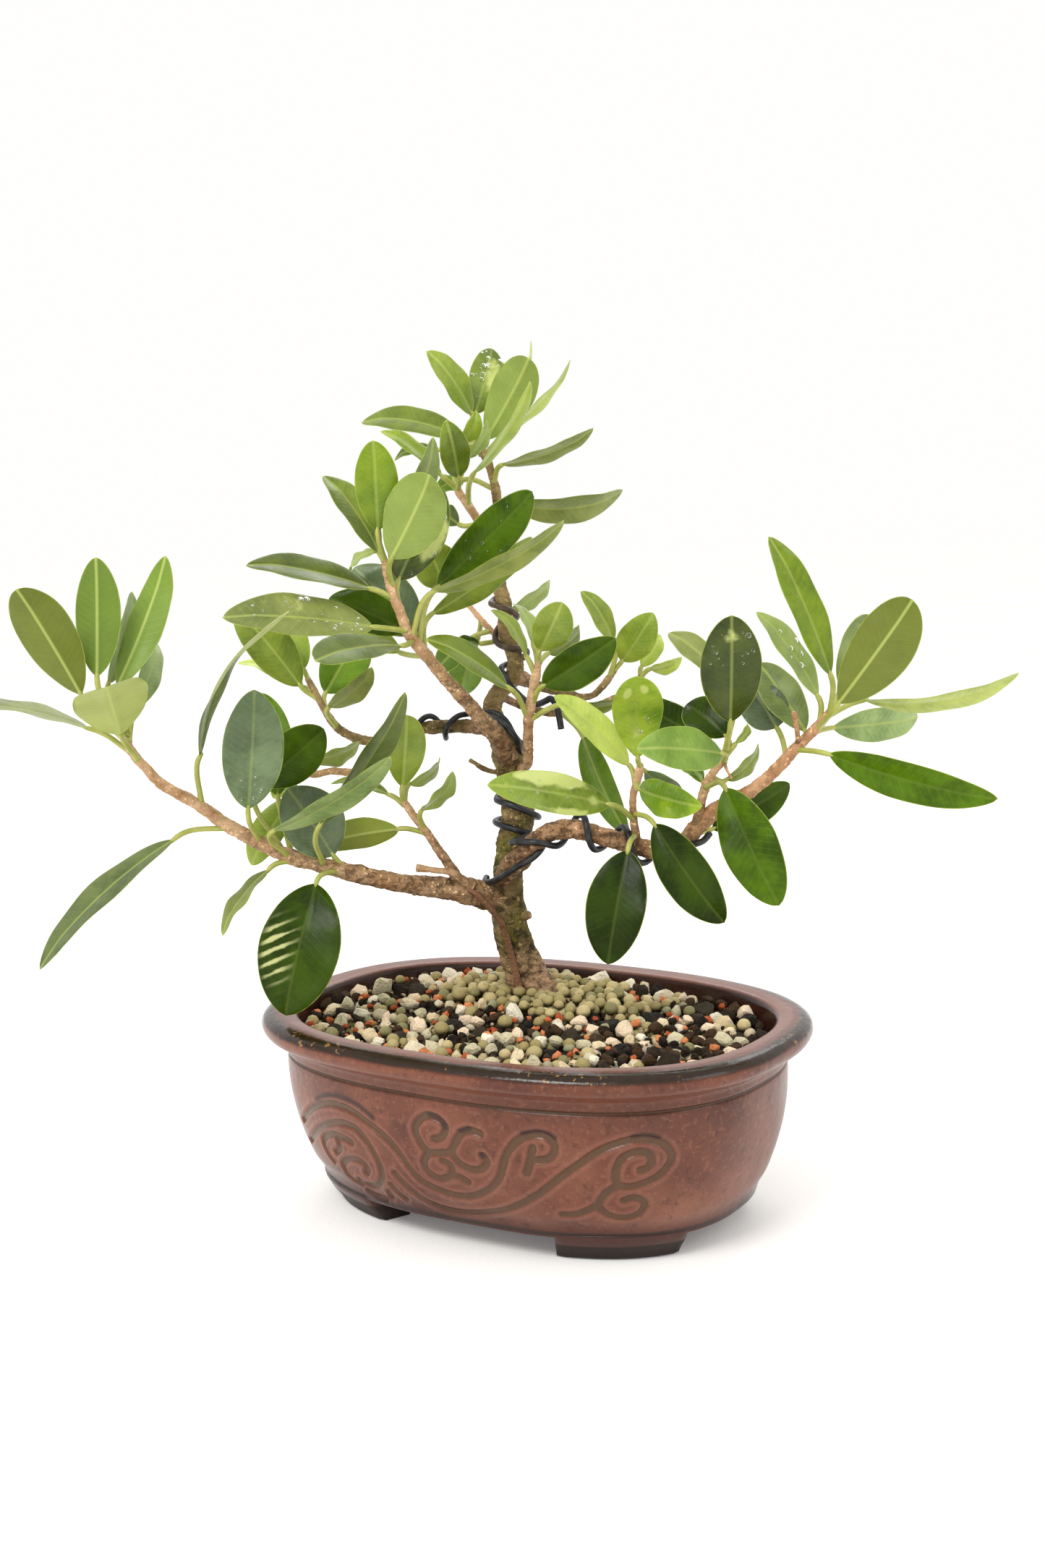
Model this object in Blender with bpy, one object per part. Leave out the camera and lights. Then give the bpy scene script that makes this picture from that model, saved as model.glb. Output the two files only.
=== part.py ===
"""Potted bonsai: a small fig tree with wired branches in a glazed oval pot.

Every separate piece is a named closed solid. The pot stands on four corner feet; inside it are two
drainage screens, the soil and the top dressing. The trunk is one solid from its root crown to its
leader; the branches butt on to it with a hair gap, and the leaves sit on the branches and twigs.
"""
import math

import bmesh
import bpy
from mathutils import Matrix, Vector

# ---------------------------------------------------------------- driving dimensions (mm)
POT_LENGTH, POT_WIDTH, POT_HEIGHT = 160.0, 117.0, 56.0   # over the rim; feet to rim top
POT_POWER = 2.5            # superellipse power of the plan: 2 is an ellipse, more is squarer
FOOT_HEIGHT = 7.0
FLOOR_TOP = 12.0           # inside floor of the pot, above the surface it stands on
GAP = 0.3                  # clearance between pieces that touch

# The tree was surveyed on an upright drawing grid, seen from one station in front of it.
# A place is (u, v, d): u across and v down on the grid, d in mm behind (+) or in front (-)
# of the upright plane through the foot of the trunk.
STATION = (290.6, -456.9, 199.3)         # mm, in the pot's frame
STATION_HEADING, STATION_DIP, STATION_TILT = -32.48, 8.28, -1.99   # degrees
GRID_RANGE = 2700.0                      # grid units per unit of distance
GRID_CENTRE = (722.5, 1084.0)
TRUNK_FOOT = (-13.0, 22.0)               # plan place of the trunk in the pot's frame


def _station_axes():
    h, e, r = (math.radians(a) for a in (STATION_HEADING, STATION_DIP, STATION_TILT))
    ahead = Vector((math.sin(h) * math.cos(e), math.cos(h) * math.cos(e), -math.sin(e)))
    across = Vector((math.cos(h), -math.sin(h), 0.0))
    up = across.cross(ahead)
    return (across * math.cos(r) + up * math.sin(r),
            up * math.cos(r) - across * math.sin(r), ahead)


ACROSS, UPWARD, AHEAD = _station_axes()
EYE = Vector(STATION)
LEVEL = Vector((AHEAD.x, AHEAD.y, 0.0)).normalized()
FOOT = Vector((TRUNK_FOOT[0], TRUNK_FOOT[1], 0.0))


def at(u, v, d):
    """The point in mm that the grid shows at (u, v), d mm behind the trunk's plane."""
    ray = AHEAD * GRID_RANGE + ACROSS * (u - GRID_CENTRE[0]) - UPWARD * (v - GRID_CENTRE[1])
    t = ((FOOT + LEVEL * d - EYE).dot(LEVEL)) / ray.dot(LEVEL)
    return EYE + ray * t


def unit_at(p):
    """Millimetres that one grid unit covers at the point p."""
    return (p - EYE).dot(AHEAD) / GRID_RANGE


def smooth(points, t):
    """Catmull-Rom through equal-length tuples, t from 0 to len(points) - 1."""
    n = len(points)
    i = min(int(t), n - 2)
    f = t - i
    p0, p1 = points[max(i - 1, 0)], points[i]
    p2, p3 = points[i + 1], points[min(i + 2, n - 1)]
    return tuple(0.5 * (2 * b + (c - a) * f + (2 * a - 5 * b + 4 * c - d) * f * f
                        + (3 * b - a - 3 * c + d) * f ** 3) for a, b, c, d in zip(p0, p1, p2, p3))


# ---------------------------------------------------------------- wood: (u, v, d, thickness in grid units)
WOOD = {
    "trunk": [(749, 1426, 1, 46), (746, 1408, 0, 62), (743, 1388, 0, 66), (740, 1370, 0, 64), (732, 1350, 0, 58),
              (722, 1328, -1, 52), (713, 1305, -1, 50), (706, 1280, -2, 49), (704, 1260, -2, 48), (702, 1235, -2, 46),
              (703, 1203, -2, 43), (708, 1172, -1, 43), (714, 1140, 0, 44), (716, 1115, 0, 43), (712, 1090, 1, 40),
              (706, 1065, 2, 40), (701, 1042, 3, 42), (695, 1018, 5, 38), (683, 996, 7, 30), (681, 975, 8, 27),
              (691, 956, 9, 24), (706, 941, 10, 24), (712, 926, 10, 23), (712, 908, 10, 21), (704, 888, 10, 19),
              (698, 868, 10, 18), (698, 845, 10, 19), (694, 822, 11, 20), (689, 802, 11, 20), (685, 782, 11, 18),
              (684, 758, 10, 16), (685, 730, 9, 14), (687, 705, 8, 12), (686, 682, 7, 13), (681, 658, 6, 11),
              (673, 636, 5, 11), (665, 620, 4, 11), (660, 607, 4, 9)],
    "branch_left": [(695, 1243, -3, 38), (672, 1238, -6, 39), (650, 1233, -8, 37), (625, 1229, -9, 32),
                    (598, 1226, -10, 29), (560, 1222, -11, 26), (520, 1214, -12, 25), (480, 1205, -13, 24),
                    (440, 1195, -14, 22), (400, 1184, -15, 21), (370, 1171, -16, 20), (340, 1155, -17, 20),
                    (310, 1138, -18, 19), (275, 1113, -20, 17), (245, 1097, -21, 16), (222, 1083, -22, 15),
                    (200, 1060, -23, 13), (185, 1043, -24, 13), (172, 1020, -25, 11)],
    "stub_left": [(652, 1226, -11, 16), (625, 1207, -14, 10), (600, 1203, -15, 9), (576, 1200, -16, 11)],
    "dry_twig": [(704, 1067, 0, 9), (682, 1067, -4, 7), (667, 1062, -6, 7), (658, 1056, -7, 6), (650, 1051, -8, 6)],
    "branch_front": [(702, 1044, -1, 30), (690, 1022, -8, 27), (672, 1001, -12, 23), (655, 982, -14, 20),
                     (640, 965, -16, 19), (622, 945, -18, 18), (605, 925, -20, 17), (590, 907, -21, 17),
                     (576, 890, -23, 16), (565, 876, -24, 16), (558, 858, -25, 15), (551, 840, -26, 14),
                     (543, 822, -27, 13), (538, 805, -28, 12), (535, 790, -29, 12), (532, 774, -29, 10)],
    "branch_back_left": [(688, 1010, 7, 20), (668, 1006, 12, 20), (645, 1004, 15, 19), (620, 1004, 18, 19),
                         (598, 1006, 20, 18), (576, 1006, 22, 17), (550, 1012, 24, 15), (526, 1024, 26, 13),
                         (506, 1024, 27, 13), (488, 1019, 28, 13), (470, 1009, 30, 12), (457, 994, 31, 11),
                         (447, 978, 32, 10), (440, 965, 33, 10), (432, 950, 34, 9), (425, 938, 35, 8)],
    "twig_back_low": [(549, 1012, 24, 11), (542, 1034, 23, 11), (530, 1055, 22, 11), (510, 1067, 21, 11),
                      (485, 1068, 20, 11), (460, 1066, 19, 10), (440, 1070, 19, 10), (428, 1070, 18, 9),
                      (412, 1058, 18, 8)],
    "twig_left_upright": [(634, 1218, -9, 15), (618, 1192, -9, 13), (601, 1167, -9, 12), (588, 1148, -9, 11),
                          (575, 1132, -9, 11), (565, 1118, -9, 11), (557, 1107, -9, 9)],
    "twig_apex_left": [(684, 752, 10, 13), (670, 731, 6, 12), (656, 712, 3, 12), (646, 696, 1, 12),
                       (636, 683, 0, 11), (631, 672, 0, 9)],
    "twig_back": [(711, 905, 10, 11), (700, 892, 14, 9), (690, 881, 17, 9), (680, 873, 19, 8), (668, 860, 21, 8),
                  (655, 845, 23, 7), (646, 834, 24, 7), (640, 825, 25, 6)],
    "twig_upright": [(718, 1068, 1, 15), (730, 1050, -5, 15), (730, 1020, -10, 14), (731, 995, -13, 14),
                     (735, 965, -15, 13), (740, 940, -17, 14), (743, 924, -18, 10), (745, 912, -18, 8)],
    "branch_back_right": [(712, 935, 10, 18), (728, 941, 14, 17), (744, 948, 17, 14), (760, 953, 19, 12),
                          (775, 957, 21, 11), (790, 960, 23, 11), (805, 964, 25, 10), (820, 961, 27, 9),
                          (832, 950, 28, 10), (842, 938, 29, 10), (851, 924, 29, 8)],
    "twig_back_right_low": [(690, 962, 9, 10), (708, 970, 13, 10), (724, 977, 15, 10), (741, 981, 16, 10),
                            (760, 986, 18, 10), (778, 985, 20, 9), (800, 981, 22, 9), (830, 973, 24, 8),
                            (860, 959, 27, 8), (879, 945, 29, 8), (886, 934, 30, 7)],
    "branch_right": [(704, 1214, -3, 24), (712, 1196, -10, 27), (723, 1180, -14, 28), (741, 1163, -17, 28),
                     (760, 1151, -18, 27), (780, 1146, -19, 27), (800, 1147, -20, 27), (822, 1153, -21, 26),
                     (846, 1160, -22, 26), (872, 1167, -23, 26), (900, 1175, -24, 26), (925, 1175, -24, 24),
                     (945, 1164, -25, 23), (963, 1145, -25, 24), (985, 1123, -26, 22), (1010, 1108, -27, 20),
                     (1040, 1092, -28, 18), (1065, 1072, -29, 17), (1085, 1051, -30, 17), (1105, 1030, -31, 15),
                     (1130, 1005, -32, 14), (1149, 982, -33, 9)],
    "twig_right_one": [(877, 1167, -23, 15), (878, 1150, -25, 12), (876, 1130, -26, 11), (875, 1110, -27, 10),
                       (876, 1095, -27, 10), (880, 1082, -28, 11), (884, 1066, -28, 12), (886, 1055, -28, 8)],
    "twig_right_two": [(960, 1149, -25, 14), (965, 1135, -26, 14), (968, 1115, -27, 13), (973, 1095, -27, 13),
                       (980, 1078, -28, 12), (990, 1063, -29, 11), (1000, 1053, -29, 9), (1004, 1040, -29, 7)],
    "bare_petiole": [(1104, 1032, -31, 8), (1102, 1010, -34, 7), (1098, 985, -36, 8)],
    "bud_sheath": [(1000, 1052, -29, 6), (1006, 1066, -32, 4), (1012, 1077, -33, 4)],
}
# which wood each piece grows from, and short pieces that belong to the same node as their parent
PARENT = {"branch_left": "trunk", "branch_front": "trunk", "branch_back_left": "trunk", "branch_right": "trunk",
          "twig_back_low": "branch_back_left", "twig_left_upright": "branch_left", "twig_apex_left": "trunk",
          "twig_back": "trunk", "twig_upright": "trunk", "branch_back_right": "trunk",
          "twig_back_right_low": "trunk", "twig_right_one": "branch_right", "twig_right_two": "branch_right"}
GROWN_TOGETHER = {"stub_left": "branch_left", "dry_twig": "trunk", "bare_petiole": "branch_right",
                  "bud_sheath": "twig_right_two"}

# ---------------------------------------------------------------- leaves
# name: (node, petiole start, blade base, blade tip, width, roll, look, options)
# A leaf whose node is its own name is a piece of its own; the others are one piece with their twig.
# width is the widest breadth the grid shows; roll turns the blade about its midrib: 0 shows its
# upper face to the station, 180 its under face, 90 its edge. full= is the real breadth of a blade
# seen nearly edge on; peak= where it is widest; bend= bow of the midrib towards the upper face (mm);
# sway= bow within the blade (mm); fold= rise of each half from the midrib (degrees).
LEAVES = {
    # left branch tip
    "leaf_left_01": ("leaf_left_01", (176, 1027, -27), (112, 960, -32), (23, 813, -44), 76, 168, "olive", dict(peak=.56)),
    "leaf_left_02": ("branch_left", (173, 1012, -25), (134, 935, -30), (133, 771, -26), 63, 174, "moss", dict(peak=.52)),
    "leaf_left_03": ("branch_left", (175, 1020, -25), (150, 945, -20), (186, 818, -6), 30, 48, "frost", dict(full=44)),
    "leaf_left_04": ("branch_left", (174, 1018, -25), (163, 948, -24), (231, 770, -16), 46, 150, "moss", dict(full=58, peak=.5)),
    "leaf_left_05": ("branch_left", (178, 1026, -25), (186, 978, -18), (218, 884, 4), 26, 40, "frost", dict(full=40)),
    "leaf_left_06": ("leaf_left_06", (190, 1050, -27), (167, 1016, -36), (146, 946, -68), 108, 182, "pale", dict(peak=.55)),
    "leaf_left_07": ("leaf_left_07", (185, 1043, -22), (122, 1007, -24), (-62, 972, -30), 24, 74, "pale", dict(full=66)),
    "leaf_left_08": ("leaf_left_08", (278, 1110, -20), (277, 1045, -26), (404, 848, -61), 10, 84, "grey", dict(full=58, bend=-6.5)),
    "leaf_left_09": ("leaf_left_09", (318, 1144, -18), (240, 1161, -22), (52, 1338, -36), 34, 58, "grey", dict(full=66, bend=3)),
    "leaf_left_10": ("leaf_left_10", (362, 1168, -16), (343, 1118, -25), (352, 955, -31), 86, 8, "blue", dict(peak=.52)),
    "leaf_left_11": ("branch_left", (392, 1180, -15), (360, 1084, -11), (449, 1008, -4), 72, 12, "dark", dict(peak=.5)),
    "leaf_left_12": ("branch_left", (432, 1192, -13), (404, 1104, -4), (346, 1196, -5), 46, 20, "lime", dict()),
    "leaf_left_13": ("leaf_left_13", (482, 1204, -13), (461, 1183, -14), (398, 1090, -15), 88, 8, "blue", dict(peak=.5)),
    "leaf_left_14": ("leaf_left_14", (398, 1184, -16), (378, 1149, -26), (541, 1050, -44), 34, 56, "pale", dict(full=58, bend=2, peak=.55)),
    "leaf_left_15": ("leaf_left_15", (446, 1195, -15), (443, 1140, -26), (563, 960, -33), 37, 56, "grey", dict(full=64)),
    "leaf_left_16": ("branch_left", (416, 1189, -15), (372, 1202, -18), (305, 1291, -28), 20, 60, "pale", dict(full=40)),
    "leaf_left_17": ("leaf_left_17", (468, 1203, -14), (437, 1222, -23), (394, 1404, -33), 114, 8, "dark", dict(peak=.5, bend=4, fold=14)),
    "leaf_left_18": ("branch_left", (404, 1184, -14), (384, 1100, -9), (364, 958, -8), 56, 20, "moss", dict()),
    # upright twig on the left branch
    "leaf_upright_01": ("twig_left_upright", (557, 1109, -9), (556, 1088, -12), (563, 990, -17), 57, 5, "lime", dict(peak=.62)),
    "leaf_upright_02": ("twig_left_upright", (559, 1110, -9), (566, 1084, -8), (611, 1050, 2), 17, 58, "mint", dict(full=30)),
    "leaf_upright_03": ("twig_left_upright", (559, 1113, -9), (538, 1099, -9), (458, 1080, -6), 17, 60, "olive", dict(full=32)),
    "leaf_upright_04": ("twig_left_upright", (588, 1151, -9), (551, 1146, -8), (428, 1170, 2), 43, 152, "olive", dict(full=50)),
    "leaf_upright_05": ("twig_left_upright", (586, 1146, -9), (583, 1121, -12), (628, 1070, -18), 24, 56, "mint", dict(full=38)),
    # back left branch
    "leaf_back_01": ("branch_back_left", (440, 967, 33), (415, 948, 33), (325, 837, 32), 62, 14, "olive", dict(peak=.5)),
    "leaf_back_02": ("branch_back_left", (434, 954, 34), (420, 950, 38), (330, 913, 46), 20, 58, "yellow", dict(full=34)),
    "leaf_back_03": ("branch_back_left", (429, 946, 34.5), (420, 925, 38), (388, 850, 48), 40, 20, "lime", dict()),
    "leaf_back_04": ("branch_back_left", (453, 988, 31.5), (450, 958, 35), (500, 866, 40), 66, 10, "moss", dict()),
    "leaf_back_05": ("branch_back_left", (465, 1005, 30), (455, 978, 25), (515, 926, 16), 28, 44, "pale", dict(full=42)),
    "leaf_back_06": ("twig_back_low", (420, 1064, 18), (410, 1062, 17), (378, 1102, 10), 37, 15, "lime", dict()),
    "leaf_back_07": ("twig_back_low", (430, 1070, 18), (433, 1051, 19), (499, 1028, 24), 24, 48, "mint", dict(full=36)),
    # front branch
    "leaf_front_01": ("leaf_front_01", (541, 808, -28), (541, 772, -35), (596, 655, -48), 88, 166, "leafy", dict(peak=.5, fold=10)),
    "leaf_front_02": ("branch_front", (532, 778, -29), (524, 764, -28), (449, 656, -26), 38, 48, "olive", dict(full=60)),
    "leaf_front_03": ("branch_front", (532, 776, -29), (522, 734, -32), (516, 610, -37), 61, 4, "bright", dict(peak=.55)),
    "leaf_front_04": ("leaf_front_04", (572, 886, -23), (556, 893, -31), (438, 910, -62), 42, 50, "grey", dict(full=62, peak=.66)),
    "leaf_front_05": ("leaf_front_05", (562, 872, -25), (516, 867, -30), (309, 851, -45), 60, 42, "wet", dict(full=78, peak=.5)),
    "leaf_front_06": ("leaf_front_06", (544, 826, -27), (512, 814, -29), (341, 778, -34), 32, 58, "olive", dict(full=66)),
    "leaf_front_07": ("branch_front", (572, 884, -23), (577, 876, -15), (489, 784, -10), 82, 8, "blue", dict()),
    "leaf_front_08": ("branch_front", (566, 876, -24), (560, 872, -17), (455, 826, -17), 58, 16, "dark", dict()),
    "leaf_front_09": ("leaf_front_09", (558, 856, -25), (551, 802, -24), (606, 667, -20), 78, 10, "wet", dict(peak=.5)),
    "leaf_front_10": ("branch_front", (533, 780, -29), (520, 762, -22), (482, 789, -14), 12, 58, "mint", dict(full=22)),
    "leaf_front_11": ("leaf_front_11", (578, 892, -22), (604, 812, -17), (737, 680, -13), 64, 16, "dark", dict(peak=.54)),
    "leaf_front_12": ("leaf_front_12", (569, 880, -24), (600, 818, -28), (781, 724, -38), 27, 58, "pale", dict(full=56, bend=2)),
    "leaf_front_13": ("branch_front", (586, 902, -21), (598, 848, -13), (738, 745, -6), 40, 44, "olive", dict(full=54)),
    "leaf_front_14": ("branch_front", (590, 908, -21), (552, 902, -12), (478, 876, 2), 34, 30, "lime", dict()),
    "leaf_front_15": ("branch_front", (535, 790, -29), (551, 745, -33), (602, 606, -36), 32, 44, "mint", dict(full=46)),
    # apex
    "leaf_apex_01": ("leaf_apex_01", (660, 612, 4), (652, 572, 1), (593, 485, -8), 37, 38, "lime", dict(full=46)),
    "leaf_apex_02": ("leaf_apex_02", (661, 610, 5), (657, 572, 9), (681, 480, 18), 50, 10, "wet", dict()),
    "leaf_apex_03": ("leaf_apex_03", (664, 616, 4), (672, 608, 0), (733, 494, -12), 64, 168, "leafy", dict(peak=.58)),
    "leaf_apex_04": ("twig_apex_left", (647, 698, 1), (655, 655, -8), (736, 531, -28), 18, 62, "lime", dict(full=40)),
    "leaf_apex_05": ("trunk", (664, 620, 4), (694, 562, 12), (738, 473, 28), 9, 74, "yellow", dict(full=32)),
    "leaf_apex_06": ("trunk", (669, 630, 5), (697, 600, 12), (792, 500, 28), 13, 68, "yellow", dict(full=34)),
    "leaf_apex_07": ("trunk", (683, 666, 6), (694, 643, 3), (821, 596, -8), 22, 60, "pale", dict(full=42)),
    "leaf_apex_08": ("leaf_apex_08", (686, 704, 8), (706, 696, 11), (862, 681, 16), 37, 48, "dark", dict(full=56, bend=4)),
    "leaf_apex_09": ("leaf_apex_09", (666, 628, 5), (640, 606, 10), (500, 581, 16), 33, 48, "dark", dict(full=54, bend=3)),
    "leaf_apex_10": ("twig_apex_left", (633, 678, 0), (634, 660, -5), (618, 583, -14), 43, 10, "olive", dict()),
    "leaf_apex_11": ("trunk", (664, 619, 4), (641, 612, 2), (660, 570, -2), 24, 26, "lime", dict()),
    "leaf_apex_12": ("twig_apex_left", (633, 675, 0), (646, 634, -1), (676, 584, -6), 18, 48, "mint", dict(full=26)),
    "leaf_apex_13": ("twig_apex_left", (632, 676, 0), (611, 658, -2), (529, 594, -8), 24, 52, "lime", dict(full=34)),
    "leaf_apex_14": ("twig_apex_left", (632, 674, 0), (606, 622, 4), (545, 633, 3), 14, 58, "wet", dict(full=26)),
    "leaf_apex_15": ("trunk", (684, 676, 7), (640, 664, 8), (602, 680, 4), 24, 30, "moss", dict()),
    "leaf_apex_16": ("twig_apex_left", (664, 724, 4), (634, 725, 7), (598, 708, 10), 32, 26, "grey", dict()),
    # upright twig in front of the trunk
    "leaf_middle_01": ("twig_upright", (741, 936, -17), (728, 908, -19), (683, 842, -23), 18, 58, "lime", dict(full=32)),
    "leaf_middle_02": ("twig_upright", (744, 918, -18), (737, 890, -12), (712, 832, -4), 18, 54, "mint", dict(full=30)),
    "leaf_middle_03": ("twig_upright", (745, 914, -18), (746, 900, -20), (777, 835, -27), 55, 6, "lime", dict(peak=.6)),
    "leaf_middle_04": ("twig_upright", (745, 916, -18), (758, 903, -14), (804, 866, -5), 24, 44, "mint", dict(full=32)),
    "leaf_middle_05": ("leaf_middle_05", (738, 968, -15), (751, 948, -20), (850, 884, -34), 60, 12, "dark", dict(peak=.52)),
    "leaf_middle_06": ("leaf_middle_06", (730, 992, -13), (702, 950, -22), (592, 882, -36), 27, 52, "olive", dict(full=54)),
    "leaf_middle_07": ("twig_upright", (731, 996, -13), (780, 974, -17), (862, 968, -14), 20, 60, "olive", dict(full=38)),
    # back twig
    "leaf_rear_01": ("twig_back", (694, 885, 16), (664, 890, 14), (624, 893, 14), 13, 50, "dark", dict(full=22)),
    "leaf_rear_02": ("twig_back", (678, 872, 19), (650, 884, 21), (603, 928, 24), 36, 22, "moss", dict()),
    "leaf_rear_03": ("twig_back", (666, 858, 21), (658, 893, 27), (637, 962, 33), 50, 18, "leafy", dict(peak=.4)),
    "leaf_rear_04": ("twig_back", (708, 901, 11), (706, 843, 20), (763, 804, 28), 20, 46, "mint", dict(full=30)),
    "leaf_rear_05": ("twig_back", (641, 827, 25), (615, 812, 22), (588, 750, 18), 64, 8, "olive", dict()),
    # back right branch
    "leaf_far_01": ("branch_back_right", (844, 935, 29), (848, 888, 26), (806, 817, 22), 31, 40, "lime", dict(full=38)),
    "leaf_far_02": ("branch_back_right", (850, 926, 29), (860, 914, 28), (903, 849, 22), 52, 8, "lime", dict()),
    "leaf_far_03": ("twig_back_right_low", (886, 938, 30), (887, 922, 32), (914, 877, 36), 26, 15, "yellow", dict()),
    "leaf_far_04": ("twig_back_right_low", (885, 938, 30), (899, 925, 28), (942, 912, 22), 18, 38, "yellow", dict(full=24)),
    "leaf_far_05": ("twig_back_right_low", (776, 985, 20), (806, 1019, 13), (868, 1157, -2), 40, 28, "moss", dict(full=48, peak=.45)),
    # right branch: first twig
    "leaf_right_01": ("leaf_right_01", (885, 1060, -28), (882, 1048, -31), (880, 938, -48), 72, 4, "gloss", dict(peak=.6, bend=-2)),
    "leaf_right_02": ("twig_right_one", (879, 1086, -28), (869, 1057, -26), (769, 961, -32), 42, 34, "yellow", dict(full=50)),
    "leaf_right_03": ("twig_right_one", (881, 1082, -28), (884, 1091, -33), (967, 1115, -54), 50, 20, "bright", dict()),
    "leaf_right_04": ("leaf_right_04", (876, 1132, -26), (842, 1112, -34), (676, 1084, -50), 57, 22, "wet", dict(full=62)),
    "leaf_right_05": ("leaf_right_05", (878, 1154, -25), (868, 1176, -33), (840, 1333, -42), 84, 8, "dark", dict(peak=.5)),
    "leaf_right_06": ("leaf_right_06", (876, 1124, -26), (905, 1140, -35), (1000, 1276, -48), 70, 20, "dark", dict(peak=.52)),
    "leaf_right_07": ("twig_right_one", (879, 1086, -28), (892, 1066, -20), (940, 1100, -10), 34, 20, "blue", dict()),
    # second twig
    "leaf_right_08": ("leaf_right_08", (1001, 1054, -29), (998, 1042, -37), (885, 1034, -62), 62, 20, "leafy", dict(peak=.52)),
    "leaf_right_09": ("leaf_right_09", (1004, 1036, -29), (1010, 998, -36), (1012, 853, -48), 86, 5, "wet", dict(peak=.56)),
    "leaf_right_10": ("twig_right_two", (1002, 1050, -29), (1000, 936, -20), (925, 873, -12), 36, 30, "pale", dict()),
    "leaf_right_11": ("twig_right_two", (1002, 1050, -29), (1004, 1018, -24), (948, 972, -14), 58, 12, "dark", dict()),
    "leaf_right_12": ("branch_right", (1088, 1048, -30), (1074, 1006, -23), (1030, 940, -14), 66, 12, "blue", dict(peak=.35)),
    "leaf_right_13": ("twig_right_two", (1003, 1046, -29), (1017, 1028, -26), (1036, 1000, -22), 10, 30, "yellow", dict(full=14)),
    "leaf_right_14": ("twig_right_two", (983, 1074, -28), (1004, 1078, -25), (1052, 1030, -18), 21, 56, "lime", dict(full=34)),
    "leaf_right_15": ("leaf_right_15", (976, 1088, -28), (1003, 1090, -37), (1076, 1252, -50), 79, 14, "dark", dict(peak=.52)),
    "leaf_right_16": ("twig_right_two", (968, 1117, -27), (985, 1146, -12), (1093, 1084, -10), 50, 16, "dark", dict()),
    "leaf_right_17": ("twig_right_two", (976, 1090, -27), (972, 1082, -21), (938, 1048, -12), 24, 30, "moss", dict()),
    "leaf_right_18": ("twig_right_two", (1002, 1050, -29), (985, 1032, -18), (872, 968, 6), 52, 16, "dark", dict()),
    # right branch tip
    "leaf_tip_01": ("leaf_tip_01", (1148, 986, -33), (1148, 932, -37), (1066, 742, -46), 47, 38, "bright", dict(full=58)),
    "leaf_tip_02": ("branch_right", (1134, 1001, -32), (1131, 963, -33), (1049, 845, -34), 34, 42, "mint", dict(full=44)),
    "leaf_tip_03": ("leaf_tip_03", (1130, 1008, -32), (1160, 972, -44), (1264, 828, -62), 87, 170, "olive", dict(peak=.54)),
    "leaf_tip_04": ("branch_right", (1147, 985, -33), (1163, 952, -24), (1203, 848, -12), 52, 12, "mint", dict()),
    "leaf_tip_05": ("leaf_tip_05", (1144, 990, -33), (1195, 968, -37), (1409, 935, -54), 25, 60, "pale", dict(full=48, bend=4)),
    "leaf_tip_06": ("branch_right", (1122, 1014, -32), (1152, 1006, -24), (1272, 992, -8), 48, 16, "frost", dict()),
    "leaf_tip_07": ("leaf_tip_07", (1102, 1036, -31), (1147, 1043, -39), (1378, 1106, -62), 53, 24, "dark", dict(full=60, bend=3)),
    "leaf_tip_08": ("branch_right", (1110, 1026, -31), (1113, 1010, -25), (1048, 915, -12), 54, 16, "grey", dict()),
}
PETIOLE = 0.85             # radius of a leaf stalk, mm
BLADE = 0.9                # thickness of a blade at its midrib, mm


def leaf_shape(name):
    """Frame and sizes of a leaf in mm: base, axis, upper normal, side, length, half breadth and bows."""
    _, root, base, tip, width, roll, look, opt = LEAVES[name]
    a, b, t = at(*root), at(*base), at(*tip)
    length = (t - b).length
    axis = (t - b) / length
    mid = (b + t) / 2
    eye = (EYE - mid).normalized()
    face = (eye - axis * eye.dot(axis)).normalized()
    side = axis.cross(face)
    r = math.radians(roll)
    normal = face * math.cos(r) + side * math.sin(r)
    side = axis.cross(normal)
    mm = unit_at(mid)
    half = opt.get("full", width / max(abs(math.cos(r)), 0.5)) * mm / 2
    return dict(root=a, base=b, tip=t, axis=axis, normal=normal, side=side, length=length, half=half,
                peak=opt.get("peak", 0.5), bend=opt.get("bend", 1.5), sway=opt.get("sway", 0.0),
                fold=math.radians(opt.get("fold", 9.0)), look=look, node=LEAVES[name][0])


def breadth(t, peak, sharp=1.5):
    """Outline of a blade: 0 at base and tip, 1 at peak."""
    t = min(max(t, 0.0), 1.0)
    p, q = sharp * peak, sharp * (1 - peak)
    top = peak ** p * (1 - peak) ** q
    return (t ** p) * ((1 - t) ** q) / top


def blade_point(s, t, x, lift=0.0):
    """A point of the blade: t along it, x from -1 to 1 across it, lift in mm along its normal."""
    bow = 4 * t * (1 - t)
    h = s["half"] * breadth(t, s["peak"])
    return (s["base"] + s["axis"] * (s["length"] * t)
            + s["normal"] * (s["bend"] * bow + abs(x) * h * math.sin(s["fold"]) + lift)
            + s["side"] * (s["sway"] * bow + x * h * math.cos(s["fold"])))


def stalk_point(s, f, start=None):
    """A point of the leaf stalk, f from 0 at the twig to 1 at the blade."""
    a = start or s["root"]
    b = s["base"]
    reach = (b - a).length
    c = b - s["axis"] * (0.4 * reach)
    e = a + (b - a) * 0.3
    g = 1 - f
    return a * g ** 3 + e * (3 * g * g * f) + c * (3 * g * f * f) + b * f ** 3

MM = 0.001
WIRE = 1.0                 # radius of the training wire, mm
PLAN_STEPS = 48            # points round the pot's outline
WALL_TOP_GAP = 0.3

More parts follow.
